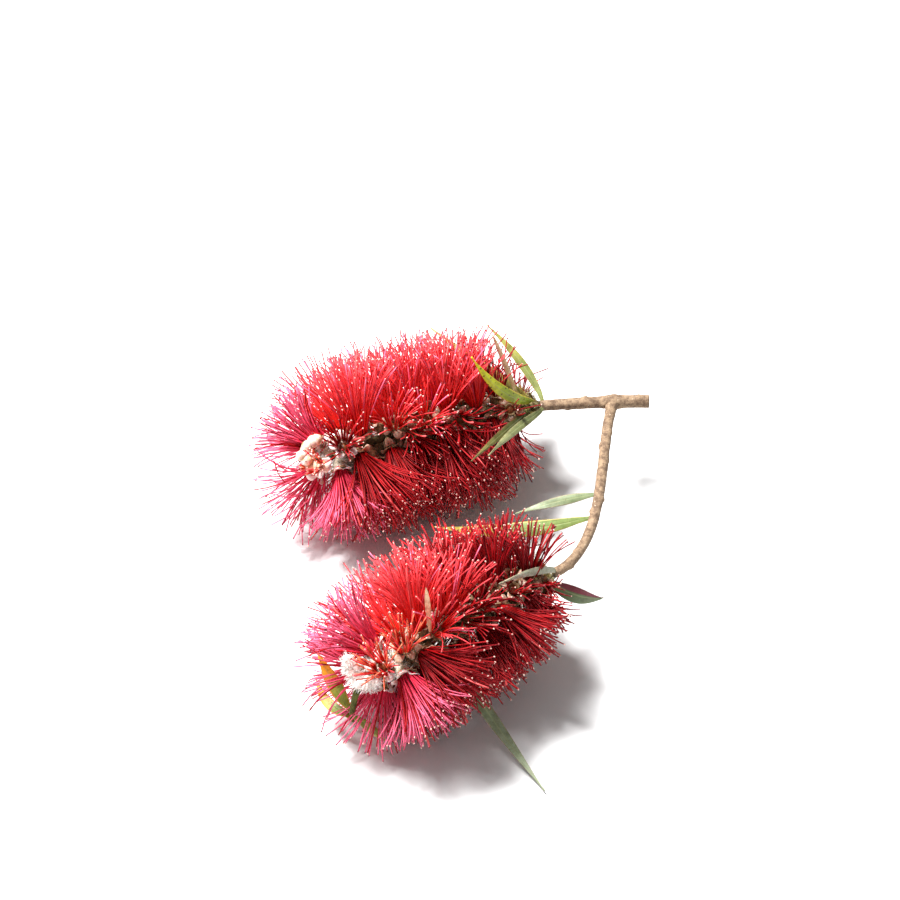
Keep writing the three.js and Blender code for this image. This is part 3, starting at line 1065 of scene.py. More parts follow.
BLADE_EXTRAS = {
    "upper_leaf_1": {"spots": 0.5, "spot_size": 900.0, "spot": (0.10, 0.06, 0.01)},
    "side_leaf_1": {"turn": 0.68},
    # lower_leaf_1's one-sided margin spreads the dark red over one half of the blade: partly its own red
    # edge, partly painted shade.
    "lower_leaf_1": {"one_sided": True, "margin_reach": 0.15},
}
YOUNG_LEAVES = ("upper_leaf_1", "tip_leaf_1", "tip_leaf_2", "tip_leaf_3")
HAIRY = {"roughness": 0.8, "sheen": 0.1, "bump": 0.5, "bump_distance": 0.15, "size": 900.0}
PETAL = {"subsurface": 0.25, "bump": 0.25}
SHARED_FINISHES = (
    *(
        ThreadFinish(f"stamen_{tint.value}", foot=foot, tip=tip)
        for tint, (foot, tip) in STAMEN_TONES.items()
    ),
    ThreadFinish("style"),
    MottledFinish("anther_pollen", 0.7, dark=(0.72, 0.36, 0.30), light=(0.90, 0.66, 0.56)),
    MottledFinish("anther_dark", dark=(0.16, 0.012, 0.02), light=(0.30, 0.04, 0.04)),
    MottledFinish("flower_cup", dark=(0.14, 0.08, 0.03), light=(0.52, 0.34, 0.17), **HAIRY),
    MottledFinish("flower_cup_young", dark=(0.40, 0.36, 0.22), light=(0.72, 0.62, 0.50), **HAIRY),
    MottledFinish("nectary", 0.35, dark=(0.14, 0.03, 0.01), light=(0.42, 0.12, 0.03), size=700.0),
    MottledFinish("petal_fresh", dark=(0.80, 0.50, 0.46), light=(0.97, 0.86, 0.83), size=500.0, **PETAL),
    MottledFinish(
        "petal_aged", dark=(0.42, 0.20, 0.12), light=(0.82, 0.55, 0.42), size=500.0,
        speck_amount=0.3, **PETAL,
    ),
    MottledFinish("bud", dark=(0.74, 0.42, 0.20), light=(0.95, 0.76, 0.70), size=260.0, **PETAL),
    MottledFinish("bud_woolly", sheen=0.3, dark=(0.86, 0.68, 0.62), light=(0.99, 0.95, 0.92), size=420.0),
    MottledFinish("down", 0.6, sheen=0.5, dark=(0.80, 0.74, 0.68), light=(0.98, 0.96, 0.93)),
    MottledFinish("fawn_down", 0.7, dark=(0.36, 0.22, 0.12), light=(0.70, 0.50, 0.34)),
    # The rachis's own brownish green is darkened to near black as painted shade in the deep gaps between the
    # flowers.
    MottledFinish(
        "rachis", 0.85, bump=0.6, dark=(0.026, 0.020, 0.006), light=(0.12, 0.085, 0.025), size=700.0
    ),
    MottledFinish(
        "bark", 0.82, bump=0.7, bump_distance=0.12, dark=(0.12, 0.07, 0.04), light=(0.34, 0.23, 0.14),
        size=520.0, speck=(0.52, 0.42, 0.30), speck_size=1100.0, speck_amount=0.10,
    ),
    MottledFinish("young_bark", 0.9, 0.1, dark=(0.04, 0.04, 0.012), light=(0.12, 0.12, 0.03), size=600.0),
    MottledFinish("dry_bract", 0.8, dark=(0.72, 0.48, 0.26), light=(0.98, 0.80, 0.52), size=600.0),
    MottledFinish("bract_hair", 0.6, dark=(0.16, 0.06, 0.02), light=(0.42, 0.36, 0.08), size=260.0),
    MottledFinish("bract", 0.7, sheen=0.3, dark=(0.12, 0.08, 0.03), light=(0.36, 0.32, 0.10), size=700.0),
)


class Finishes:
    """The sprig's materials: those that pieces share are built once."""

    def __init__(self) -> None:
        """Builds the shared materials."""
        self.effects = Effects()
        self.shared = {finish.name: finish.material(self.effects) for finish in SHARED_FINISHES}

    def __getitem__(self, name: str) -> Material:
        """Returns a shared material by its name."""
        return self.shared[name]

    def cut_wood(self, middle: Vector) -> Material:
        """Returns the cut end's material, centred on the twig's axis."""
        return CutWoodFinish("cut_wood", middle=(middle.y, middle.z)).material(self.effects)

    def blade(self, leaf: str) -> Material:
        """Builds the material of one leaf.

        Args:
            leaf: the leaf's name.

        Returns:
            The material.
        """
        foot, tip, margin = BLADE_TONES[leaf]
        extras = BLADE_EXTRAS.get(leaf, {})
        finish = BladeFinish(f"blade_{leaf}", foot=foot, tip=tip, margin=margin, **extras)
        return finish.material(self.effects)


# ---- Twigs ----


@dataclass
class BarkTwig:
    """One length of twig: ridged bark with leaf scars over the frame's path, swollen at the fork."""

    plan: Plan
    finishes: Finishes
    node: str
    stem: str
    start: float = 0.0
    end: float = 1.0
    swell: float = 0.0
    swell_at: float = 0.0
    swell_reach: float = 2.6
    segments: int = 32
    ring_step: float = 0.55
    ridge: float = 0.10
    ridge_turns: float = 2.4
    ridge_stretch: float = 0.22
    grain_finer: float = 4.1
    grain: float = 0.4
    sunk: float = 0.3
    cut_bevel: float = 1.5
    scar_every: float = 5.5
    scar_rise: float = 0.42
    scar_size: float = 1.15
    scar_squash: Span = (1.3, 1.8)
    scar_pit: float = 0.45
    side_shift: float = 7.0
    shoot_relief: float = 0.4

    def __post_init__(self) -> None:
        """Finds the stem's path and how far its pattern is shifted."""
        self.path = self.plan.stems[self.stem]
        self.shift = self.side_shift if self.stem == "side" else 0.0

    def build(self) -> None:
        """Builds the length of twig, and the cut wood of the main one."""
        rings = max(2, int((self.end - self.start) * self.path.length / self.ring_step))
        span, foot = (self.start, self.end), int(self.stem == "main")
        bm = tube(self.path, span, self.segments, rings - 1, self._radius, foot)
        finishes = [self.finishes["young_bark" if self.stem == "shoot" else "bark"]]
        if self.stem == "main":
            finishes.append(self.finishes.cut_wood(LAYOUT_TO_FRAME @ self.path.at(0)))
        name = f"{self.node}_bark"
        add_piece(name, finish_bmesh(name, bm), "bark", self.node, *finishes)

    def _radius(self, share: float, angle: float, _out: Vector) -> float:
        """Works out the radius of the bark.

        Args:
            share: the share of the stem's length.
            angle: the place round the stem, in radians.
            _out: the way out from the axis, which the bark doesn't need.

        Returns:
            The radius.
        """
        walked = share * self.path.length
        bevel = min(1.0, walked / self.cut_bevel) if self.stem == "main" else 1.0
        relief = self._relief(walked, angle) * bevel - self.ridge * self.sunk
        relief *= self.shoot_relief if self.stem == "shoot" else 1.0
        away = walked - self.swell_at * self.path.length
        swell = self.swell * math.exp(-((away / self.swell_reach) ** 2))
        return stem_radius(self.stem, share) + relief + swell

    def _relief(self, walked: float, angle: float) -> float:
        """Works out how far the bark's ridges and leaf scars stand off the twig's own radius.

        Args:
            walked: the way along the stem.
            angle: the place round the stem, in radians.

        Returns:
            The relief.
        """
        across = round_z(angle) * self.ridge_turns
        place = Vector((across[0], across[1], walked * self.ridge_stretch + self.shift))
        ridges = abs(noise.noise(place)) * 2.0 - 0.5
        relief = self.ridge * (ridges + noise.noise(place * self.grain_finer) * self.grain)
        for number in range(int(self.path.length / self.scar_every)):
            along = (number + 0.6) * self.scar_every - walked
            if abs(along) <= 3.0 * self.scar_size:
                about = math.remainder(angle - number * GOLDEN_ANGLE - self.shift, 2.0 * math.pi)
                away = math.hypot(along * self.scar_squash[0], about * self.scar_squash[1]) / self.scar_size
                relief += self.scar_rise * math.exp(-(away**4)) * (0.6 if away < self.scar_pit else 1.0)
        return relief


def build_twigs(plan: Plan, finishes: Finishes) -> None:
    """Builds the four lengths of twig.

    Args:
        plan: the sprig's layout.
        finishes: its materials.
    """
    fork = TWIG.fork_from_cut / plan.stems["main"].length
    overlap = TWIG.side_overlap / plan.stems["side"].length
    BarkTwig(plan, finishes, "main_twig", "main", 0.0, 1.0, 0.5, fork).build()
    BarkTwig(plan, finishes, "side_twig", "side", TWIG.side_start, TWIG.side_split + overlap, 0.45).build()
    BarkTwig(plan, finishes, "lower_stem", "side", TWIG.side_split).build()
    BarkTwig(plan, finishes, "tip_shoot", "shoot").build()


# ---- Leaves ----


@dataclass
class LeafBlade:
    """One leaf: a thin folded blade with a midrib and a little wave."""

    plan: Plan
    finishes: Finishes
    name: str
    number: int
    rows: int = 64
    columns: int = 12
    thickness: float = 0.34
    wave: float = 0.16
    waves: float = 9.0
    wave_shift: float = 1.7
    rib: float = 0.14
    rib_half: float = 0.16
    joint: float = 0.07
    smooth_foot: float = 6.0

    def build(self) -> None:
        """Builds the blade, with its chart from edge to edge and foot to tip."""
        bm = bmesh.new()
        bmesh.ops.create_grid(bm, x_segments=self.columns, y_segments=self.rows, size=0.5)
        chart = bm.loops.layers.uv.new(CHART)
        for face in bm.faces:
            for loop in face.loops:
                loop[chart].uv = (loop.vert.co.x + 0.5, loop.vert.co.y + 0.5)
        for vert in bm.verts:
            vert.co = self._point(vert.co.y + 0.5, 2.0 * vert.co.x)
        name = f"{self.name}_blade"
        slot = "leaf_young" if self.name in YOUNG_LEAVES else "leaf_green"
        piece = add_piece(name, finish_bmesh(name, bm), slot, self.name, self.finishes.blade(self.name))
        solid = piece.modifiers.new("thickness", "SOLIDIFY")
        solid.thickness = self.thickness * MM
        solid.offset = 0.0

    def _point(self, t: float, side: float) -> Vector:
        """Finds a point of the waved blade.

        Args:
            t: share of the way from the foot to the tip.
            side: from -1 at one edge to 1 at the other.

        Returns:
            The point.
        """
        lay = self.plan.leaves[self.name]
        tangent = lay.midrib.tangent(t)
        face_way = square_to(lay.across, tangent).cross(tangent)
        ripple = self.wave * side * math.sin(self.waves * t + self.wave_shift * self.number + side)
        ripple += self.rib * math.exp(-((side / self.rib_half) ** 2)) * (1.0 - t)
        sink = lay.sink * max(0.0, 1.0 - t / self.joint)
        return lay.point(t, side) + face_way * (ripple * min(1.0, self.smooth_foot * t)) + sink


@dataclass
class DryBract:
    """A papery bract that stands out between the stamens: a thin, slightly bowed strip."""

    finishes: Finishes
    spike: str
    width: float = 1.6
    thickness: float = 0.18
    thinnest: float = 0.08
    bow: float = 0.8
    curl: float = 0.25

    def build(self) -> None:
        """Builds the bract."""
        name = f"{self.spike}_dry_bract"
        mesh = finish_bmesh(name, shell(3, 14, self.thickness, self._point, lengthwise=1))
        add_piece(name, mesh, "leaf_young", self.spike, self.finishes["dry_bract"])

    def _point(self, t: float, side: float) -> Vector:
        """Finds a point of the strip.

        Args:
            t: share of the way from the foot to the tip.
            side: from -1 at one edge to 1 at the other.

        Returns:
            The point.
        """
        foot, tip = DRY_BRACTS[self.spike]
        along = (tip - foot).normalized()
        across = square_to(LEVEL, along)
        half = self.width / 2 * max(self.thinnest, math.sin(math.pi * (0.12 + 0.86 * t)) ** 0.7)
        bow = along.cross(across) * (self.bow * math.sin(math.pi * t) + self.curl * side * side)
        return foot.lerp(tip, t) + across * (side * half) + bow


# ---- Blooms ----


@dataclass
class Flower:
    """One flower's place on its spike."""

    number: int
    along: float
    centre: Vector
    out: Vector
    brush: float
    forward: Vector
    is_rosette: bool

    YOUNG_FROM = 0.86
    WOOLLY_FROM = 0.9

    @property
    def is_young(self) -> bool:
        """Returns whether the flower is one of the last, pale ones."""
        return self.along > self.YOUNG_FROM

    @property
    def is_woolly(self) -> bool:
        """Returns whether the flower is one of the very last, woolly ones."""
        return self.along > self.WOOLLY_FROM

    @property
    def skyward(self) -> float:
        """Returns how far the flower faces up and back, below zero on the other half of the spike."""
        return self.out.y + self.out.z

    @property
    def rim(self) -> Vector:
        """Returns the middle of the cup's rim."""
        return self.centre + self.out * FLOWER.cup_length

    @property
    def turn(self) -> np.ndarray:
        """Returns the matrix that stands a stamp, whose axis is Z, on the flower."""
        side = square_to(self.forward, self.out)
        return np.array([side, self.out.cross(side), self.out]).T

    def placed(self, points: np.ndarray) -> np.ndarray:
        """Returns points of the stamp's own axes, moved onto the flower."""
        return np.array(self.centre) + points @ self.turn.T


class KeepOut:
    """Everything that the flowers keep clear of: the leaves, and the room before some of them."""

    ROWS = 60
    COLUMNS = 9
    STEP = 1.0

    def __init__(self, plan: Plan) -> None:
        """Gathers points all over the leaves, and in the windows before leaves and bracts.

        Args:
            plan: the sprig's layout.
        """
        rows = np.linspace(0.0, 1.0, self.ROWS + 1).tolist()
        sides = np.linspace(-1.0, 1.0, self.COLUMNS).tolist()
        self.leaves = self._tree(
            lay.point(t, side) for lay in plan.leaves.values() for t in rows for side in sides
        )
        self.windows = self._tree(
            start + FACE * (step * self.STEP)
            for name, (first, last, depth) in WINDOWS.items()
            for start in self._midline(plan, name, [mix(first, last, t) for t in rows])
            for step in range(int(depth / self.STEP))
        )

    @staticmethod
    def _midline(plan: Plan, name: str, shares: Iterable[float]) -> list[Vector]:
        """Finds points on the middle line of a leaf or of a spike's dry bract.

        Args:
            plan: the sprig's layout.
            name: the leaf or the spike.
            shares: the shares of its length.

        Returns:
            The points.
        """
        if name in DRY_BRACTS:
            foot, tip = DRY_BRACTS[name]
            return [foot.lerp(tip, share) for share in shares]
        return [plan.leaves[name].point(share, 0.0) for share in shares]

    @staticmethod
    def _tree(points: Iterable[Vector]) -> kdtree.KDTree:
        """Sorts points for the search of the nearest one.

        Args:
            points: the points.

        Returns:
            The tree that finds it.
        """
        points = list(points)
        tree = kdtree.KDTree(len(points))
        for number, point in enumerate(points):
            tree.insert(point, number)
        tree.balance()
        return tree

    @staticmethod
    def is_clear(tree: kdtree.KDTree, line: Iterable[Sequence[float]], margin: float) -> bool:
        """Returns whether every point of a line stays further than the margin from a tree's points."""
        return all(tree.find(Vector(point))[2] > margin for point in line)


@dataclass
class Bloom:
    """One flower spike: rachis, flowers and their brushes of stamens."""

    name: str
    plan: Plan
    finishes: Finishes
    keep_out: KeepOut
    # The brushes.
    stamens: int = 72
    rosette_share: float = 0.5
    tip_crowd: float = 0.5
    fan: Span = (7.0, 31.0)
    looseness: float = 0.11
    wayward: float = 0.12
    wayward_more: float = 2.4
    around_spread: float = 0.3
    root_ring: Span = (1.45, 1.85)
    lengths: Span = (0.82, 1.04)
    under_length: float = 1.0
    under_from: float = -0.3
    stretched: tuple[int, ...] = ()
    stretch: float = 1.13
    tip_trim: float = 0.0
    wilted_until: float = 0.16
    wilted_share: float = 0.8
    wilted_length: float = 0.72
    curled: tuple[int, ...] = ()
    curled_share: float = 0.35
    curled_bow: float = 0.13
    curled_back: float = 1.2
    bow: float = 0.05
    uprightness: float = 0.6
    parted_spread: Span = (0.6, 1.3)
    stations: int = 7
    stamen_radius: float = 0.235
    stamen_taper: float = 0.9
    style_radius: float = 1.35
    # The tones of the stamens: scarlet is painted light, crimson and wine are painted shade, rose is partly
    # painted light.
    embers: tuple[int, ...] = ()
    ember_length: float = 0.8
    ember_lean: Triple = (-0.22, 0.25, 0.25)
    dusky: tuple[int, ...] = ()
    wine_foot: float = 0.12
    wine_fade: float = 0.14
    wine_until: float = 0.3
    wine_share: float = 0.8
    scarlet_from: float = 0.15
    scarlet_share: float = 0.15
    rose_from: float = 0.85
    rose_share: float = 0.9
    rose_tip_share: float = 0.95
    # The room that stamens and cups leave.
    clear_of_leaf: float = 0.9
    clear_of_window: float = 1.3
    window_share: float = 0.2
    clear_of_cup: float = 2.5
    floor_spread: float = 0.25
    # The anthers.
    pollen: float = 0.42
    anther_length: float = 0.62
    anther_radius: float = 0.24
    anther_tilt: float = 2.0
    anther_spread: Span = (0.8, 1.15)
    # The rachis, the petals, the wool and the bracts.
    rachis_sides: int = 20
    rachis_step: float = 0.6
    rachis_bump: float = 0.28
    rachis_end: float = 0.97
    rachis_taper: float = 0.7
    petal_length: float = 3.6
    petal_width: float = 3.3
    petal_spread: float = 0.2
    petal_ring: float = 1.85
    petal_drop: float = 0.35
    sepal_ring: float = 1.95
    sepal_size: float = 0.62
    hairs: int = 34
    hairs_least: float = 0.3
    hairs_gain: float = 3.0
    wool: int = 20
    bud_step: Span = (0.3, 0.7)
    bud_reach: Span = (0.84, 1.12)
    bud_forward: Span = (0.8, 1.2)
    bud_size: Span = (0.85, 1.12)
    bud_wool_length: Span = (0.7, 1.8)
    bud_wool_curl: float = 0.35
    bud_wool_rise: float = 0.7
    bud_wool_root: float = 0.9
    bracts: int = 30
    bract_length: float = 6.4
    bract_half: float = 1.0925
    bract_hollow: float = 0.35
    bract_first: float = 0.3
    bract_step: float = 0.16
    bract_tilt: Span = (12.0, 66.0)
    bract_size: Span = (0.45, 0.95)
    bract_hairs: int = 40
    bract_hair_roots: Span = (0.5, 6.0)
    bract_hair_length: Span = (1.0, 3.3)
    bract_hair_lean: float = 0.8
    bract_hair_scatter: float = 0.55
    bract_hair_bend: float = 0.3

    CUP_CHECKS = (0.5, 0.75, 1.0)
    PETAL_TILT = {True: (10.0, 60.0), False: (-35.0, 55.0)}
    PETAL_SIZE = {True: (0.85, 1.1), False: (0.45, 0.85)}

    def __post_init__(self) -> None:
        """Places the flowers by the rule of the frame's source."""
        self.sizes = SPIKES[self.name]
        self.axis = self.plan.stems[self.name]
        self.chance = np.random.default_rng(self.sizes.seed)
        self.flowers = self._place_flowers()

    def build(self) -> None:
        """Builds every kind of piece of the spike."""
        self._rachis()
        self._cups()
        self._petals()
        self._down_and_wool()
        self._tip_ring(TIP_RINGS[self.name])
        self._stamens()
        self._collar()

    def _add(self, kind: str, mesh: Mesh, finish: str, slot: str) -> None:
        """Adds one piece that stands for the spike's node."""
        add_piece(f"{self.name.split('_')[0]}_{kind}", mesh, slot, self.name, self.finishes[finish])

    def _add_strands(
        self, kind: str, lines: Sequence[np.ndarray], radii: Sequence[float], finish: str, slot: str,
        sides: int = 3,
    ) -> None:
        """Adds one piece of thin strands over their middle lines, with a radius for each station."""
        self._add(kind, strand_mesh(kind, np.array(lines), np.array(radii), sides), finish, slot)

    def _place_flowers(self) -> list[Flower]:
        """Places the flowers round the axis.

        Returns:
            Those that stay clear of the leaves.
        """
        sizes, draw, placed = self.sizes, Seeded(self.sizes.seed), []
        flowering = sizes.length - sizes.shoot
        count = round(flowering * FLOWER.per_mm)
        for number in range(count):
            along = (number + 0.5) / count
            station = mix(FLOWER.first, flowering, along) / sizes.length
            tangent = self.axis.tangent(station)
            turn = number * GOLDEN_ANGLE + math.radians(sizes.phase) + draw.spread(FLOWER.turn_spread)
            radial = turned(UP.cross(tangent), tangent, turn).normalized()
            near_base, near_tip = (1.0 - along) ** FLOWER.base_ease, along**FLOWER.end_ease
            lean = math.radians(FLOWER.base_lean * near_base + FLOWER.tip_lean * near_tip)
            lean += draw.spread(FLOWER.lean_spread)
            out = radial * math.cos(lean) + tangent * math.sin(lean)
            brush = sizes.reach - FLOWER.cup_length + FLOWER.root_depth
            brush *= 1.0 - (sizes.base_shrink * near_base + FLOWER.tip_shrink * near_tip)
            brush *= 1.0 + draw.spread(FLOWER.brush_spread)
            is_rosette = out.dot(FACE) > FLOWER.rosette_facing
            brush *= FLOWER.rosette_length if is_rosette else 1.0
            centre = self.axis.at(station)
            flower = Flower(number, along, centre, out.normalized(), brush, tangent, is_rosette)
            steps = [flower.centre.lerp(flower.rim, share) for share in self.CUP_CHECKS]
            is_clear = self.keep_out.is_clear(self.keep_out.leaves, steps, self.clear_of_cup)
            if is_clear and number not in sizes.fallen:
                placed.append(flower)
        return placed

    # -- The stem and the cups --

    def _rachis(self) -> None:
        """Builds the woolly stem that carries the flowers."""
        cuts = int(self.sizes.length / self.rachis_step)
        bm = tube(self.axis, (0.0, 1.0), self.rachis_sides, cuts, self._rachis_radius)
        self._add("rachis", finish_bmesh("rachis", bm), "rachis", "bark")

    def _rachis_radius(self, share: float, _angle: float, out: Vector) -> float:
        """Works out the radius of the rachis, which is bumpy and tapers at its end.

        Args:
            share: the share of the rachis's length.
            _angle: the place round it, which the way out stands for.
            out: the way out from its axis.

        Returns:
            The radius.
        """
        bump = self.rachis_bump * noise.noise((self.axis.at(share) + out * 2.0) * 0.9)
        end = max(0.0, share - self.rachis_end) / (1.0 - self.rachis_end)
        taper = 1.0 - self.rachis_taper * end**2
        return stem_radius(self.name, share) * taper + bump

    @staticmethod
    def _cup_stamp() -> Stamp:
        """Models the cup: an urn on the axis Z, its foot in the rachis and its mouth open.

        Returns:
            The stamp.
        """
        bm = bmesh.new()
        row = [bm.verts.new((x, 0.0, z)) for x, z in CUP_PROFILE]
        edges = [bm.edges.new(pair) for pair in zip(row, row[1:])]
        bmesh.ops.spin(
            bm, geom=row + edges, axis=UP, cent=(0, 0, 0), angle=2 * math.pi, steps=CUP_SIDES, use_merge=True
        )
        bmesh.ops.remove_doubles(bm, verts=bm.verts, dist=1e-4)
        bmesh.ops.recalc_face_normals(bm, faces=bm.faces)
        return Stamp(bm)

    @staticmethod
    def _nectary_stamp() -> Stamp:
        """Models the dark nectary that fills the cup's mouth.

        Returns:
            The stamp.
        """
        bm = bmesh.new()
        wide, narrow = NECTARY_RADII
        bmesh.ops.create_cone(
            bm, cap_ends=True, segments=CUP_SIDES, radius1=wide, radius2=narrow, depth=NECTARY_THICKNESS
        )
        bmesh.ops.translate(bm, verts=bm.verts, vec=UP * NECTARY_HEIGHT)
        return Stamp(bm)

    def _cups(self) -> None:
        """Builds the flowers' cups, paler towards the young end, and their nectaries."""
        young = [flower for flower in self.flowers if flower.is_young]
        grown = [flower for flower in self.flowers if not flower.is_young]
        for kind, flowers, stamp, finish in (
            ("cups", grown, self._cup_stamp(), "flower_cup"),
            ("young_cups", young, self._cup_stamp(), "flower_cup_young"),
            ("nectaries", self.flowers, self._nectary_stamp(), "nectary"),
        ):
            turns, places = [flower.turn for flower in flowers], [flower.centre for flower in flowers]
            self._add(kind, stamp.joined(kind, turns, places), finish, "flower_cup")

    def _petal_point(self, t: float, side: float) -> Vector:
        """Finds a point of a petal: a round hollow scale that springs from the origin along X.

        Args:
            t: share of the petal's length.
            side: from -1 at one edge to 1 at the other.

        Returns:
            The point.
        """
        width = self.petal_width / 2 * (0.35 + 0.65 * math.sin(math.pi * min(1.0, 0.12 + 0.8 * t)) ** 0.6)
        hollow = 0.55 * (side * side) * math.sin(math.pi * (0.1 + 0.8 * t)) + 0.5 * math.sin(math.pi * t)
        return Vector((self.petal_length * t * (1.0 - 0.12 * side * side), side * width, hollow))

    def _petals(self) -> None:
        """Builds five petals and five smaller sepals round each cup's rim."""
        stamp = Stamp(shell(4, 4, 0.16, self._petal_point, lengthwise=0))
        placed: dict[str, list[tuple]] = {"petals": [], "young_petals": [], "sepals": []}
        for flower in self.flowers:
            base, young = flower.turn, flower.is_young
            petals = placed["young_petals" if young else "petals"]
            for number in range(5):
                for half_turn, reach, ring, kept in (
                    (0.0, 1.0, self.petal_ring, petals),
                    (0.5, self.sepal_size, self.sepal_ring, placed["sepals"]),
                ):
                    angle = (number + half_turn) * 2 * math.pi / 5 + flower.number
                    angle += self.chance.uniform(-self.petal_spread, self.petal_spread)
                    tilt = math.radians(self.chance.uniform(*self.PETAL_TILT[young]))
                    outward, across = round_z(angle), round_z(angle + math.pi / 2)
                    along = outward * math.cos(tilt) + np.array(UP) * math.sin(tilt)
                    size = reach * self.chance.uniform(*self.PETAL_SIZE[young])
                    local = np.array([along, across, np.cross(along, across)]).T * size
                    foot = outward * ring + np.array(UP) * (FLOWER.cup_length - self.petal_drop)
                    kept.append((base @ local, flower.placed(foot)))
        for (kind, items), finish in zip(placed.items(), ("petal_aged", "petal_fresh", "flower_cup")):
            turns, places = zip(*items)
            slot = "flower_cup" if kind == "sepals" else "petal"
            self._add(kind, stamp.joined(kind, turns, places), finish, slot)

    def _cup_hairs(self, kind: HairSizes, flower: Flower, count: int) -> list[np.ndarray]:
        """Deals hairs to one flower's cup.

        Args:
            kind: the kind of hair.
            flower: the flower.
            count: how many hairs it has.

        Returns:
            The hairs' middle lines.
        """
        lines = []
        for _ in range(count):
            angle, height = self.chance.uniform(0, 2 * math.pi), self.chance.uniform(*kind.heights)
            root = round_z(angle) * min(kind.girth, 0.9 + 0.3 * height) + np.array(UP) * height
            way = round_z(angle, self.chance.uniform(*kind.rise))
            way += self.chance.normal(0.0, kind.scatter, 3) if kind.scatter else 0.0
            length = self.chance.uniform(*kind.length) + kind.tip_gain * flower.along**6
            curl = self.chance.normal(0.0, kind.curl, 3) if kind.curl else np.zeros(3)
            lines.append(flower.placed(hair_line(root, way, length, curl, len(kind.radii))))
        return lines

    def _down_and_wool(self) -> None:
        """Builds fawn down on the grown cups, thicker white down on the young, and wool on the last."""
        down: dict[bool, list[np.ndarray]] = {False: [], True: []}
        for flower in self.flowers:
            count = int(self.hairs * (self.hairs_least + self.hairs_gain * flower.along**4))
            down[flower.is_young] += self._cup_hairs(DOWN, flower, count)
        self._add_strands("down", down[False], DOWN.radii, "fawn_down", "flower_cup")
        self._add_strands("young_down", down[True], DOWN.radii, "down", "flower_cup")
        wool = [line for f in self.flowers if f.is_woolly for line in self._cup_hairs(WOOL, f, self.wool)]
        self._add_strands("wool", wool, WOOL_RADII, "down", "flower_cup")

    @staticmethod
    def _bud_stamp() -> Stamp:
        """Models a closed bud with five faint lobes, of radius 1.

        Returns:
            The stamp.
        """
        bm = bmesh.new()
        bmesh.ops.create_uvsphere(bm, u_segments=15, v_segments=10, radius=1.0)
        for vert in bm.verts:
            lobes = 1.0 + 0.06 * math.cos(5 * math.atan2(vert.co.y, vert.co.x) + 2.0 * vert.co.z)
            vert.co = Vector((vert.co.x * lobes, vert.co.y * lobes, vert.co.z))
        return Stamp(bm)

    def _tip_ring(self, ring: TipRing) -> None:
        """Builds the closed buds that crown the spike's far end, and the wool that hides them.

        Args:
            ring: the ring's sizes.
        """
        turns, places, lines = [], [], []
        foot = self.axis.at(ring.station)
        for number in range(ring.count):
            share = (number + self.chance.uniform(*self.bud_step)) / ring.count
            angle = math.radians(mix(ring.first, ring.last, share))
            reach = ring.radius * self.chance.uniform(*self.bud_reach)
            forward = ring.forward * self.chance.uniform(*self.bud_forward)
            crown = foot + FACE * forward + FACE_UP * ring.lift
            crown += LEVEL * (reach * math.cos(angle)) + FACE_UP * (reach * math.sin(angle))
            way = (crown - foot).normalized()
            side = square_to(LEVEL if abs(way.x) < 0.9 else UP, way)
            turn = np.array([side, way.cross(side), way]).T
            half = np.array(ring.half) * self.chance.uniform(*self.bud_size)
            centre = np.array(crown - way * half[2])
            turns.append(turn * half)
            places.append(centre)
            for _ in range(ring.wool):
                out = unit(self.chance.normal(0.0, 1.0, 3) + np.array(UP) * self.bud_wool_rise)
                length = self.chance.uniform(*self.bud_wool_length)
                curl = self.chance.normal(0.0, self.bud_wool_curl, 3)
                line = hair_line(out * half * self.bud_wool_root, out, length, curl, len(WOOL_RADII))
                lines.append(centre + line @ turn.T)
        finish = "bud_woolly" if ring.wool else "bud"
        self._add("tip_buds", self._bud_stamp().joined("tip_buds", turns, places), finish, "petal")
        if lines:
            self._add_strands("tip_wool", lines, WOOL_RADII, "down", "flower_cup")

    # -- The stamens --

    def _tint(self, flower: Flower) -> Tint:
        """Deals a tone to a flower's stamens, by its age and by how it faces: facing up and back gives
        scarlet as painted light, facing down gives crimson or wine as painted shade, the foot's wine is
        partly the old flowers' tone and partly painted shade, and the far end's rose is partly the young
        flowers' tone and partly painted light.

        Args:
            flower: the flower.

        Returns:
            The tone.
        """
        draw = self.chance.random()
        if flower.number in self.embers:
            return Tint.EMBER
        if flower.number in self.dusky:
            return Tint.CRIMSON
        if flower.along < self.wine_foot + self.wine_fade * draw:
            return Tint.WINE
        if flower.is_woolly:
            return Tint.ROSE if draw < self.rose_tip_share else Tint.CRIMSON
        if flower.skyward > 0.0:
            is_scarlet = flower.along > self.scarlet_from or draw < self.scarlet_share
            return Tint.SCARLET if is_scarlet else Tint.CRIMSON
        if flower.along > self.rose_from:
            return Tint.ROSE if draw < self.rose_share else Tint.CRIMSON
        return Tint.WINE if flower.along < self.wine_until and draw < self.wine_share else Tint.CRIMSON

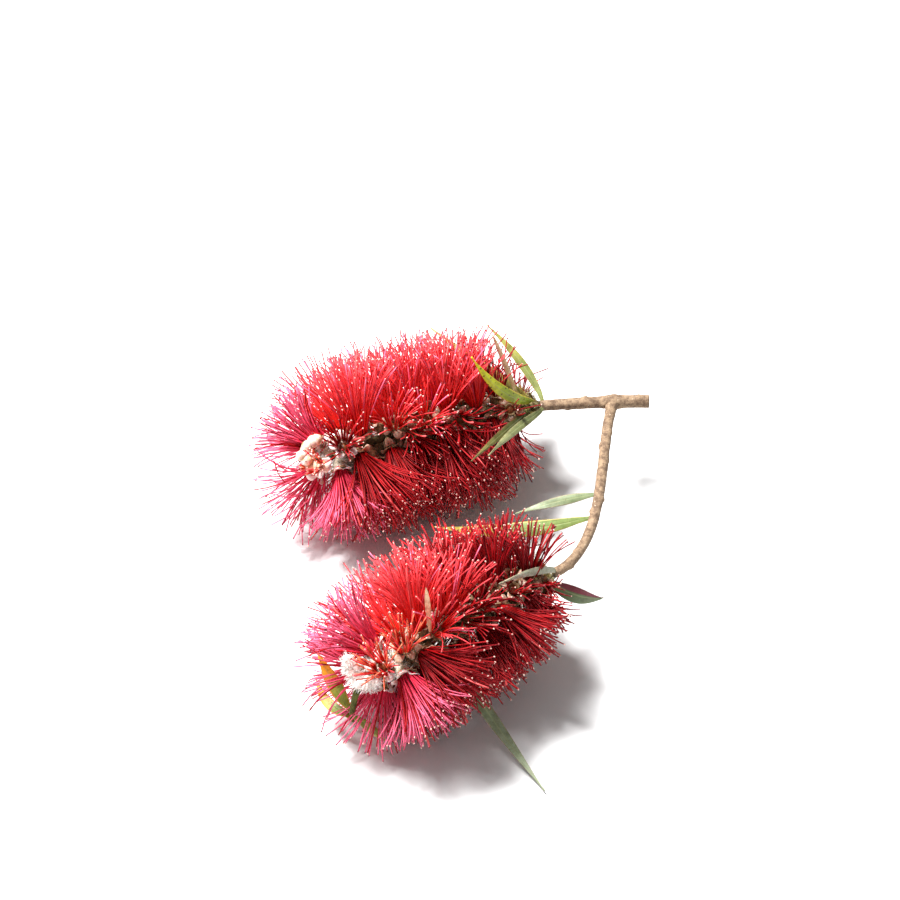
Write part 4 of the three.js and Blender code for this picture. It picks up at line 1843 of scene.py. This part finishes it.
    def _dealt(self, flower: Flower, count: int) -> tuple[np.ndarray, np.ndarray]:
        """Deals one flower's stamens round its cup.

        Args:
            flower: the flower.
            count: how many stamens it has.

        Returns:
            Where each stamen springs from and the way that it points, both as stamens by three.
        """
        order = np.arange(count)
        share = np.sqrt((order + 0.5) / count)
        polar = np.radians(mix(*self.fan, share)) * (1.0 + FLOWER.tip_fan * flower.along**FLOWER.fan_ease)
        polar *= FLOWER.rosette_fan if flower.is_rosette else 1.0
        wayward = self.chance.random(count) < self.wayward
        polar += self.chance.normal(0.0, self.looseness, count) * np.where(wayward, self.wayward_more, 1.0)
        around = flower.number + order * GOLDEN_ANGLE + self.chance.normal(0.0, self.around_spread, count)
        side, other, out = flower.turn.T
        swing = np.cos(around)[:, None] * side + np.sin(around)[:, None] * other
        heading = np.cos(polar)[:, None] * out + np.sin(polar)[:, None] * swing
        if flower.number in self.embers:
            heading = unit(heading + np.array(self.ember_lean))
        if not flower.is_rosette:
            heading = self._parted(heading, flower)
        root = np.array(flower.rim) - out * FLOWER.root_depth + swing * mix(*self.root_ring, share)[:, None]
        return root, heading

    def _parted(self, heading: np.ndarray, flower: Flower) -> np.ndarray:
        """Swings stamens up or down, off the line where the brush parts.

        Args:
            heading: the way that each stamen points.
            flower: their flower.

        Returns:
            The ways that they point now.
        """
        face, side = np.array(FACE), np.array(square_to(flower.out, FACE))
        excess = np.maximum(0.0, heading @ face - FLOWER.parted_facing)[:, None]
        excess *= self.chance.uniform(*self.parted_spread, excess.shape)
        return unit(heading + side * (FLOWER.parted_swing * excess) - face * (FLOWER.parted_fall * excess))

    def _length_share(self, flower: Flower, is_wilted: bool) -> float:
        """Works out how much a flower's place and age lengthen or shorten its brush.

        Args:
            flower: the flower.
            is_wilted: whether its stamens have wilted.

        Returns:
            The share of the full length.
        """
        share = 1.0 - self.tip_trim * flower.along**8
        share *= self.under_length if flower.skyward < self.under_from else 1.0
        share *= self.stretch if flower.number in self.stretched else 1.0
        if is_wilted:
            return share * self.wilted_length
        return share * (self.ember_length if flower.number in self.embers else 1.0)

    def _brush(self, flower: Flower) -> np.ndarray:
        """Draws the stamens of one flower.

        Args:
            flower: the flower.

        Returns:
            Their middle lines, as stamens by stations by three.
        """
        crowd = (1.0 + self.tip_crowd * flower.along**6) * (self.rosette_share if flower.is_rosette else 1.0)
        count = round(self.stamens * crowd)
        root, heading = self._dealt(flower, count)
        is_wilted = flower.along < self.wilted_until and self.chance.random() < self.wilted_share
        length = flower.brush * self.chance.uniform(*self.lengths, (count, 1))
        length *= self._length_share(flower, is_wilted)
        may_curl = self.chance.random((count, 1)) < self.curled_share
        curled = is_wilted | ((flower.number in self.curled) & may_curl)
        bow = self.chance.normal(0.0, 1.0, (count, 3)) * np.where(curled, self.curled_bow, self.bow) * length
        rise = unit(mix(heading, np.array(flower.out), self.uprightness))
        elbow = root + rise * length * 0.5 + bow
        tip = root + heading * length - bow * np.where(curled, self.curled_back, 0.0)
        t = np.linspace(0.0, 1.0, self.stations)[None, :, None]
        lines = (1 - t) ** 2 * root[:, None] + 2 * t * (1 - t) * elbow[:, None] + t**2 * tip[:, None]
        floor = self.anther_radius + self.floor_spread * self.chance.random((count, 1))
        lines[:, :, 2] = np.maximum(lines[:, :, 2], floor)
        return lines

    def _is_kept(self, line: np.ndarray) -> bool:
        """Tests whether a stamen stays clear of the leaves and, but for a few, of the windows.

        Args:
            line: the stamen's stations.

        Returns:
            Whether it is kept.
        """
        keep = self.keep_out
        if not keep.is_clear(keep.leaves, line[1:], self.clear_of_leaf):
            return False
        is_spared = self.chance.random() < self.window_share
        return is_spared or keep.is_clear(keep.windows, line[1:], self.clear_of_window)

    def _stamens(self) -> None:
        """Builds the stamens by tone, their anthers, and a style in each flower."""
        by_tint: dict[Tint, list[np.ndarray]] = {tint: [] for tint in Tint}
        styles, tips = [], []
        for flower in self.flowers:
            lines = self._brush(flower)
            lines = lines[[self._is_kept(line) for line in lines]]
            styles.extend(lines[:1])
            lines = lines[1:]
            tips.extend(lines[:, -2:])
            tint = self._tint(flower)
            odd, share = ODD_TINTS[tint]
            is_odd = self.chance.random(len(lines)) < share
            by_tint[tint].extend(lines[~is_odd])
            by_tint[odd].extend(lines[is_odd])
        radii = self.stamen_radius * np.linspace(1.0, self.stamen_taper, self.stations)
        for tint, lines in by_tint.items():
            if lines:
                self._add_strands(f"stamens_{tint.value}", lines, radii, f"stamen_{tint.value}", "stamens")
        self._add_strands("styles", styles, radii * self.style_radius, "style", "stamens", sides=4)
        self._anthers(np.array(tips))

    def _anthers(self, ends: np.ndarray) -> None:
        """Builds the anthers, the paler ones dusted with pollen.

        Args:
            ends: the last two stations of every stamen.
        """
        bm = bmesh.new()
        bmesh.ops.create_uvsphere(bm, u_segments=4, v_segments=3, radius=1.0)
        stamp = Stamp(bm)
        along = unit(ends[:, 1] - ends[:, 0] + self.chance.normal(0.0, self.anther_tilt, (len(ends), 3)))
        side = unit(np.cross(along, self.chance.normal(0.0, 1.0, (len(ends), 3))))
        size = self.chance.uniform(*self.anther_spread, (len(ends), 1))
        half = np.array([self.anther_radius, self.anther_radius, self.anther_length / 2])
        turns = np.stack([side, np.cross(along, side), along], axis=2) * half * size[:, :, None]
        pale = self.chance.random(len(ends)) < self.pollen
        for kind, chosen, finish in (
            ("anthers_pale", pale, "anther_pollen"),
            ("anthers_dark", ~pale, "anther_dark"),
        ):
            self._add(kind, stamp.joined(kind, turns[chosen], ends[chosen, 1]), finish, "anther")

    # -- The foot --

    def _bract_point(self, t: float, side: float) -> Vector:
        """Returns a point of a bract that springs from the origin along X, by its length and side."""
        width = self.bract_half * math.sin(math.pi * (0.18 + 0.80 * t)) ** 0.8
        return Vector((self.bract_length * t, side * width, t * t + self.bract_hollow * side * side))

    def _collar(self) -> None:
        """Builds the small hairy bracts that sheathe the spike's foot."""
        stamp = Stamp(shell(6, 4, 0.2, self._bract_point, lengthwise=0))
        turns, places, hairs = [], [], []
        for number in range(self.bracts):
            station = (self.bract_first + self.bract_step * number) / self.sizes.length
            tangent = self.axis.tangent(station)
            radial = turned(UP.cross(tangent).normalized(), tangent, number * GOLDEN_ANGLE)
            tilt = math.radians(self.chance.uniform(*self.bract_tilt))
            along = tangent * math.cos(tilt) + radial * math.sin(tilt)
            across = tangent.cross(radial)
            size = self.chance.uniform(*self.bract_size)
            turns.append(np.array([along, across, along.cross(across)]).T * size)
            place = self.axis.at(station) + radial * (stem_radius(self.name, station) - 0.1)
            places.append(place)
            for _ in range(self.bract_hairs):
                root = np.array(place + along * (self.chance.uniform(*self.bract_hair_roots) * size))
                way = np.array(radial + along * self.bract_hair_lean)
                way += self.chance.normal(0.0, self.bract_hair_scatter, 3)
                length = self.chance.uniform(*self.bract_hair_length)
                bend = self.chance.normal(0.0, self.bract_hair_bend, 3)
                hairs.append(hair_line(root, way, length, bend, len(BRACT_HAIR_RADII)))
        self._add_strands("collar_hairs", hairs, BRACT_HAIR_RADII, "bract_hair", "leaf_young")
        self._add("collar", stamp.joined("collar", turns, places), "bract", "leaf_young")


# ---- Stage ----


@dataclass(frozen=True)
class Stage:
    """The pale floor, the soft light and the camera, whose aim and distance are in millimetres."""

    elevation: float = 45.0
    lens: float = 85.0
    sensor: float = 36.0
    distance: float = 643.875
    aim: Vector = Vector((0.0, 0.0, 28.0))
    floor_half: float = 3.0
    floor_tone: float = 0.82
    floor_roughness: float = 0.9
    key_place: Vector = Vector((-0.46, 0.30, 1.12))
    key_target: Vector = Vector((0.0, 0.0, 0.03))
    key_size: float = 0.35
    key_power: float = 47.0
    fill: float = 0.32

    def build(self) -> None:
        """Builds the stage."""
        self._floor()
        self._lights()
        self._camera()
        bpy.context.scene.view_settings.view_transform = "Standard"

    def _floor(self) -> None:
        """Builds the plain pale floor."""
        bm = bmesh.new()
        bmesh.ops.create_grid(bm, x_segments=1, y_segments=1, size=self.floor_half)
        mesh = bpy.data.meshes.new("floor")
        bm.to_mesh(mesh)
        bm.free()
        made = bpy.data.materials.new("floor")
        made.use_nodes = True
        shader = made.node_tree.nodes["Principled BSDF"]
        shader.inputs["Base Color"].default_value = (*[self.floor_tone] * 3, 1.0)
        shader.inputs["Roughness"].default_value = self.floor_roughness
        mesh.materials.append(made)
        add_object("floor", mesh)

    def _lights(self) -> None:
        """Lights the sprig from above and behind, with soft fill all round."""
        light = bpy.data.lights.new("key", "AREA")
        light.size = self.key_size
        light.energy = self.key_power
        lamp = add_object("key", light)
        lamp.location = self.key_place
        lamp.rotation_euler = (self.key_target - self.key_place).to_track_quat("-Z", "Y").to_euler()
        world = bpy.data.worlds.new("studio")
        world.use_nodes = True
        background = world.node_tree.nodes["Background"]
        background.inputs["Color"].default_value = (*WHITE, 1.0)
        background.inputs["Strength"].default_value = self.fill
        bpy.context.scene.world = world

    def _camera(self) -> None:
        """Adds the camera, level in roll, looking down along +Y."""
        tilt = math.radians(self.elevation)
        look = Vector((0.0, math.cos(tilt), -math.sin(tilt)))
        lens = bpy.data.cameras.new("camera")
        lens.lens = self.lens
        lens.sensor_width = self.sensor
        lens.clip_start = 0.01
        camera = add_object("camera", lens)
        camera.location = LAYOUT_TO_FRAME @ (self.aim - look * self.distance)
        camera.rotation_euler = look.to_track_quat("-Z", "Y").to_euler()
        bpy.context.scene.camera = camera


def write_sizes() -> None:
    """Brings the view layer up to date."""
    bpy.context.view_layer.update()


def main() -> None:
    """Builds the stage and every sub-assembly in order."""
    logging.basicConfig(level=logging.INFO, format="%(name)s: %(message)s")
    Stage().build()
    plan, finishes = Plan(), Finishes()
    keep_out = KeepOut(plan)
    build_twigs(plan, finishes)
    for number, leaf in enumerate(LEAVES):
        LeafBlade(plan, finishes, leaf, number).build()
    for spike in DRY_BRACTS:
        DryBract(finishes, spike).build()
    Bloom(
        "upper_bloom", plan, finishes, keep_out, embers=(51,), ember_length=0.42, curled=(50,),
        stretched=(44,), dusky=(46,), tip_trim=0.13,
    ).build()
    # The lower spike's underside gets wine-dark stamens almost to its far end, as painted shade.
    Bloom(
        "lower_bloom", plan, finishes, keep_out, embers=(37, 42), wool=60, scarlet_from=0.5,
        rose_from=0.87, wine_until=0.85, wine_foot=0.2, under_length=0.93,
    ).build()
    write_sizes()


if __name__ == "__main__":
    main()
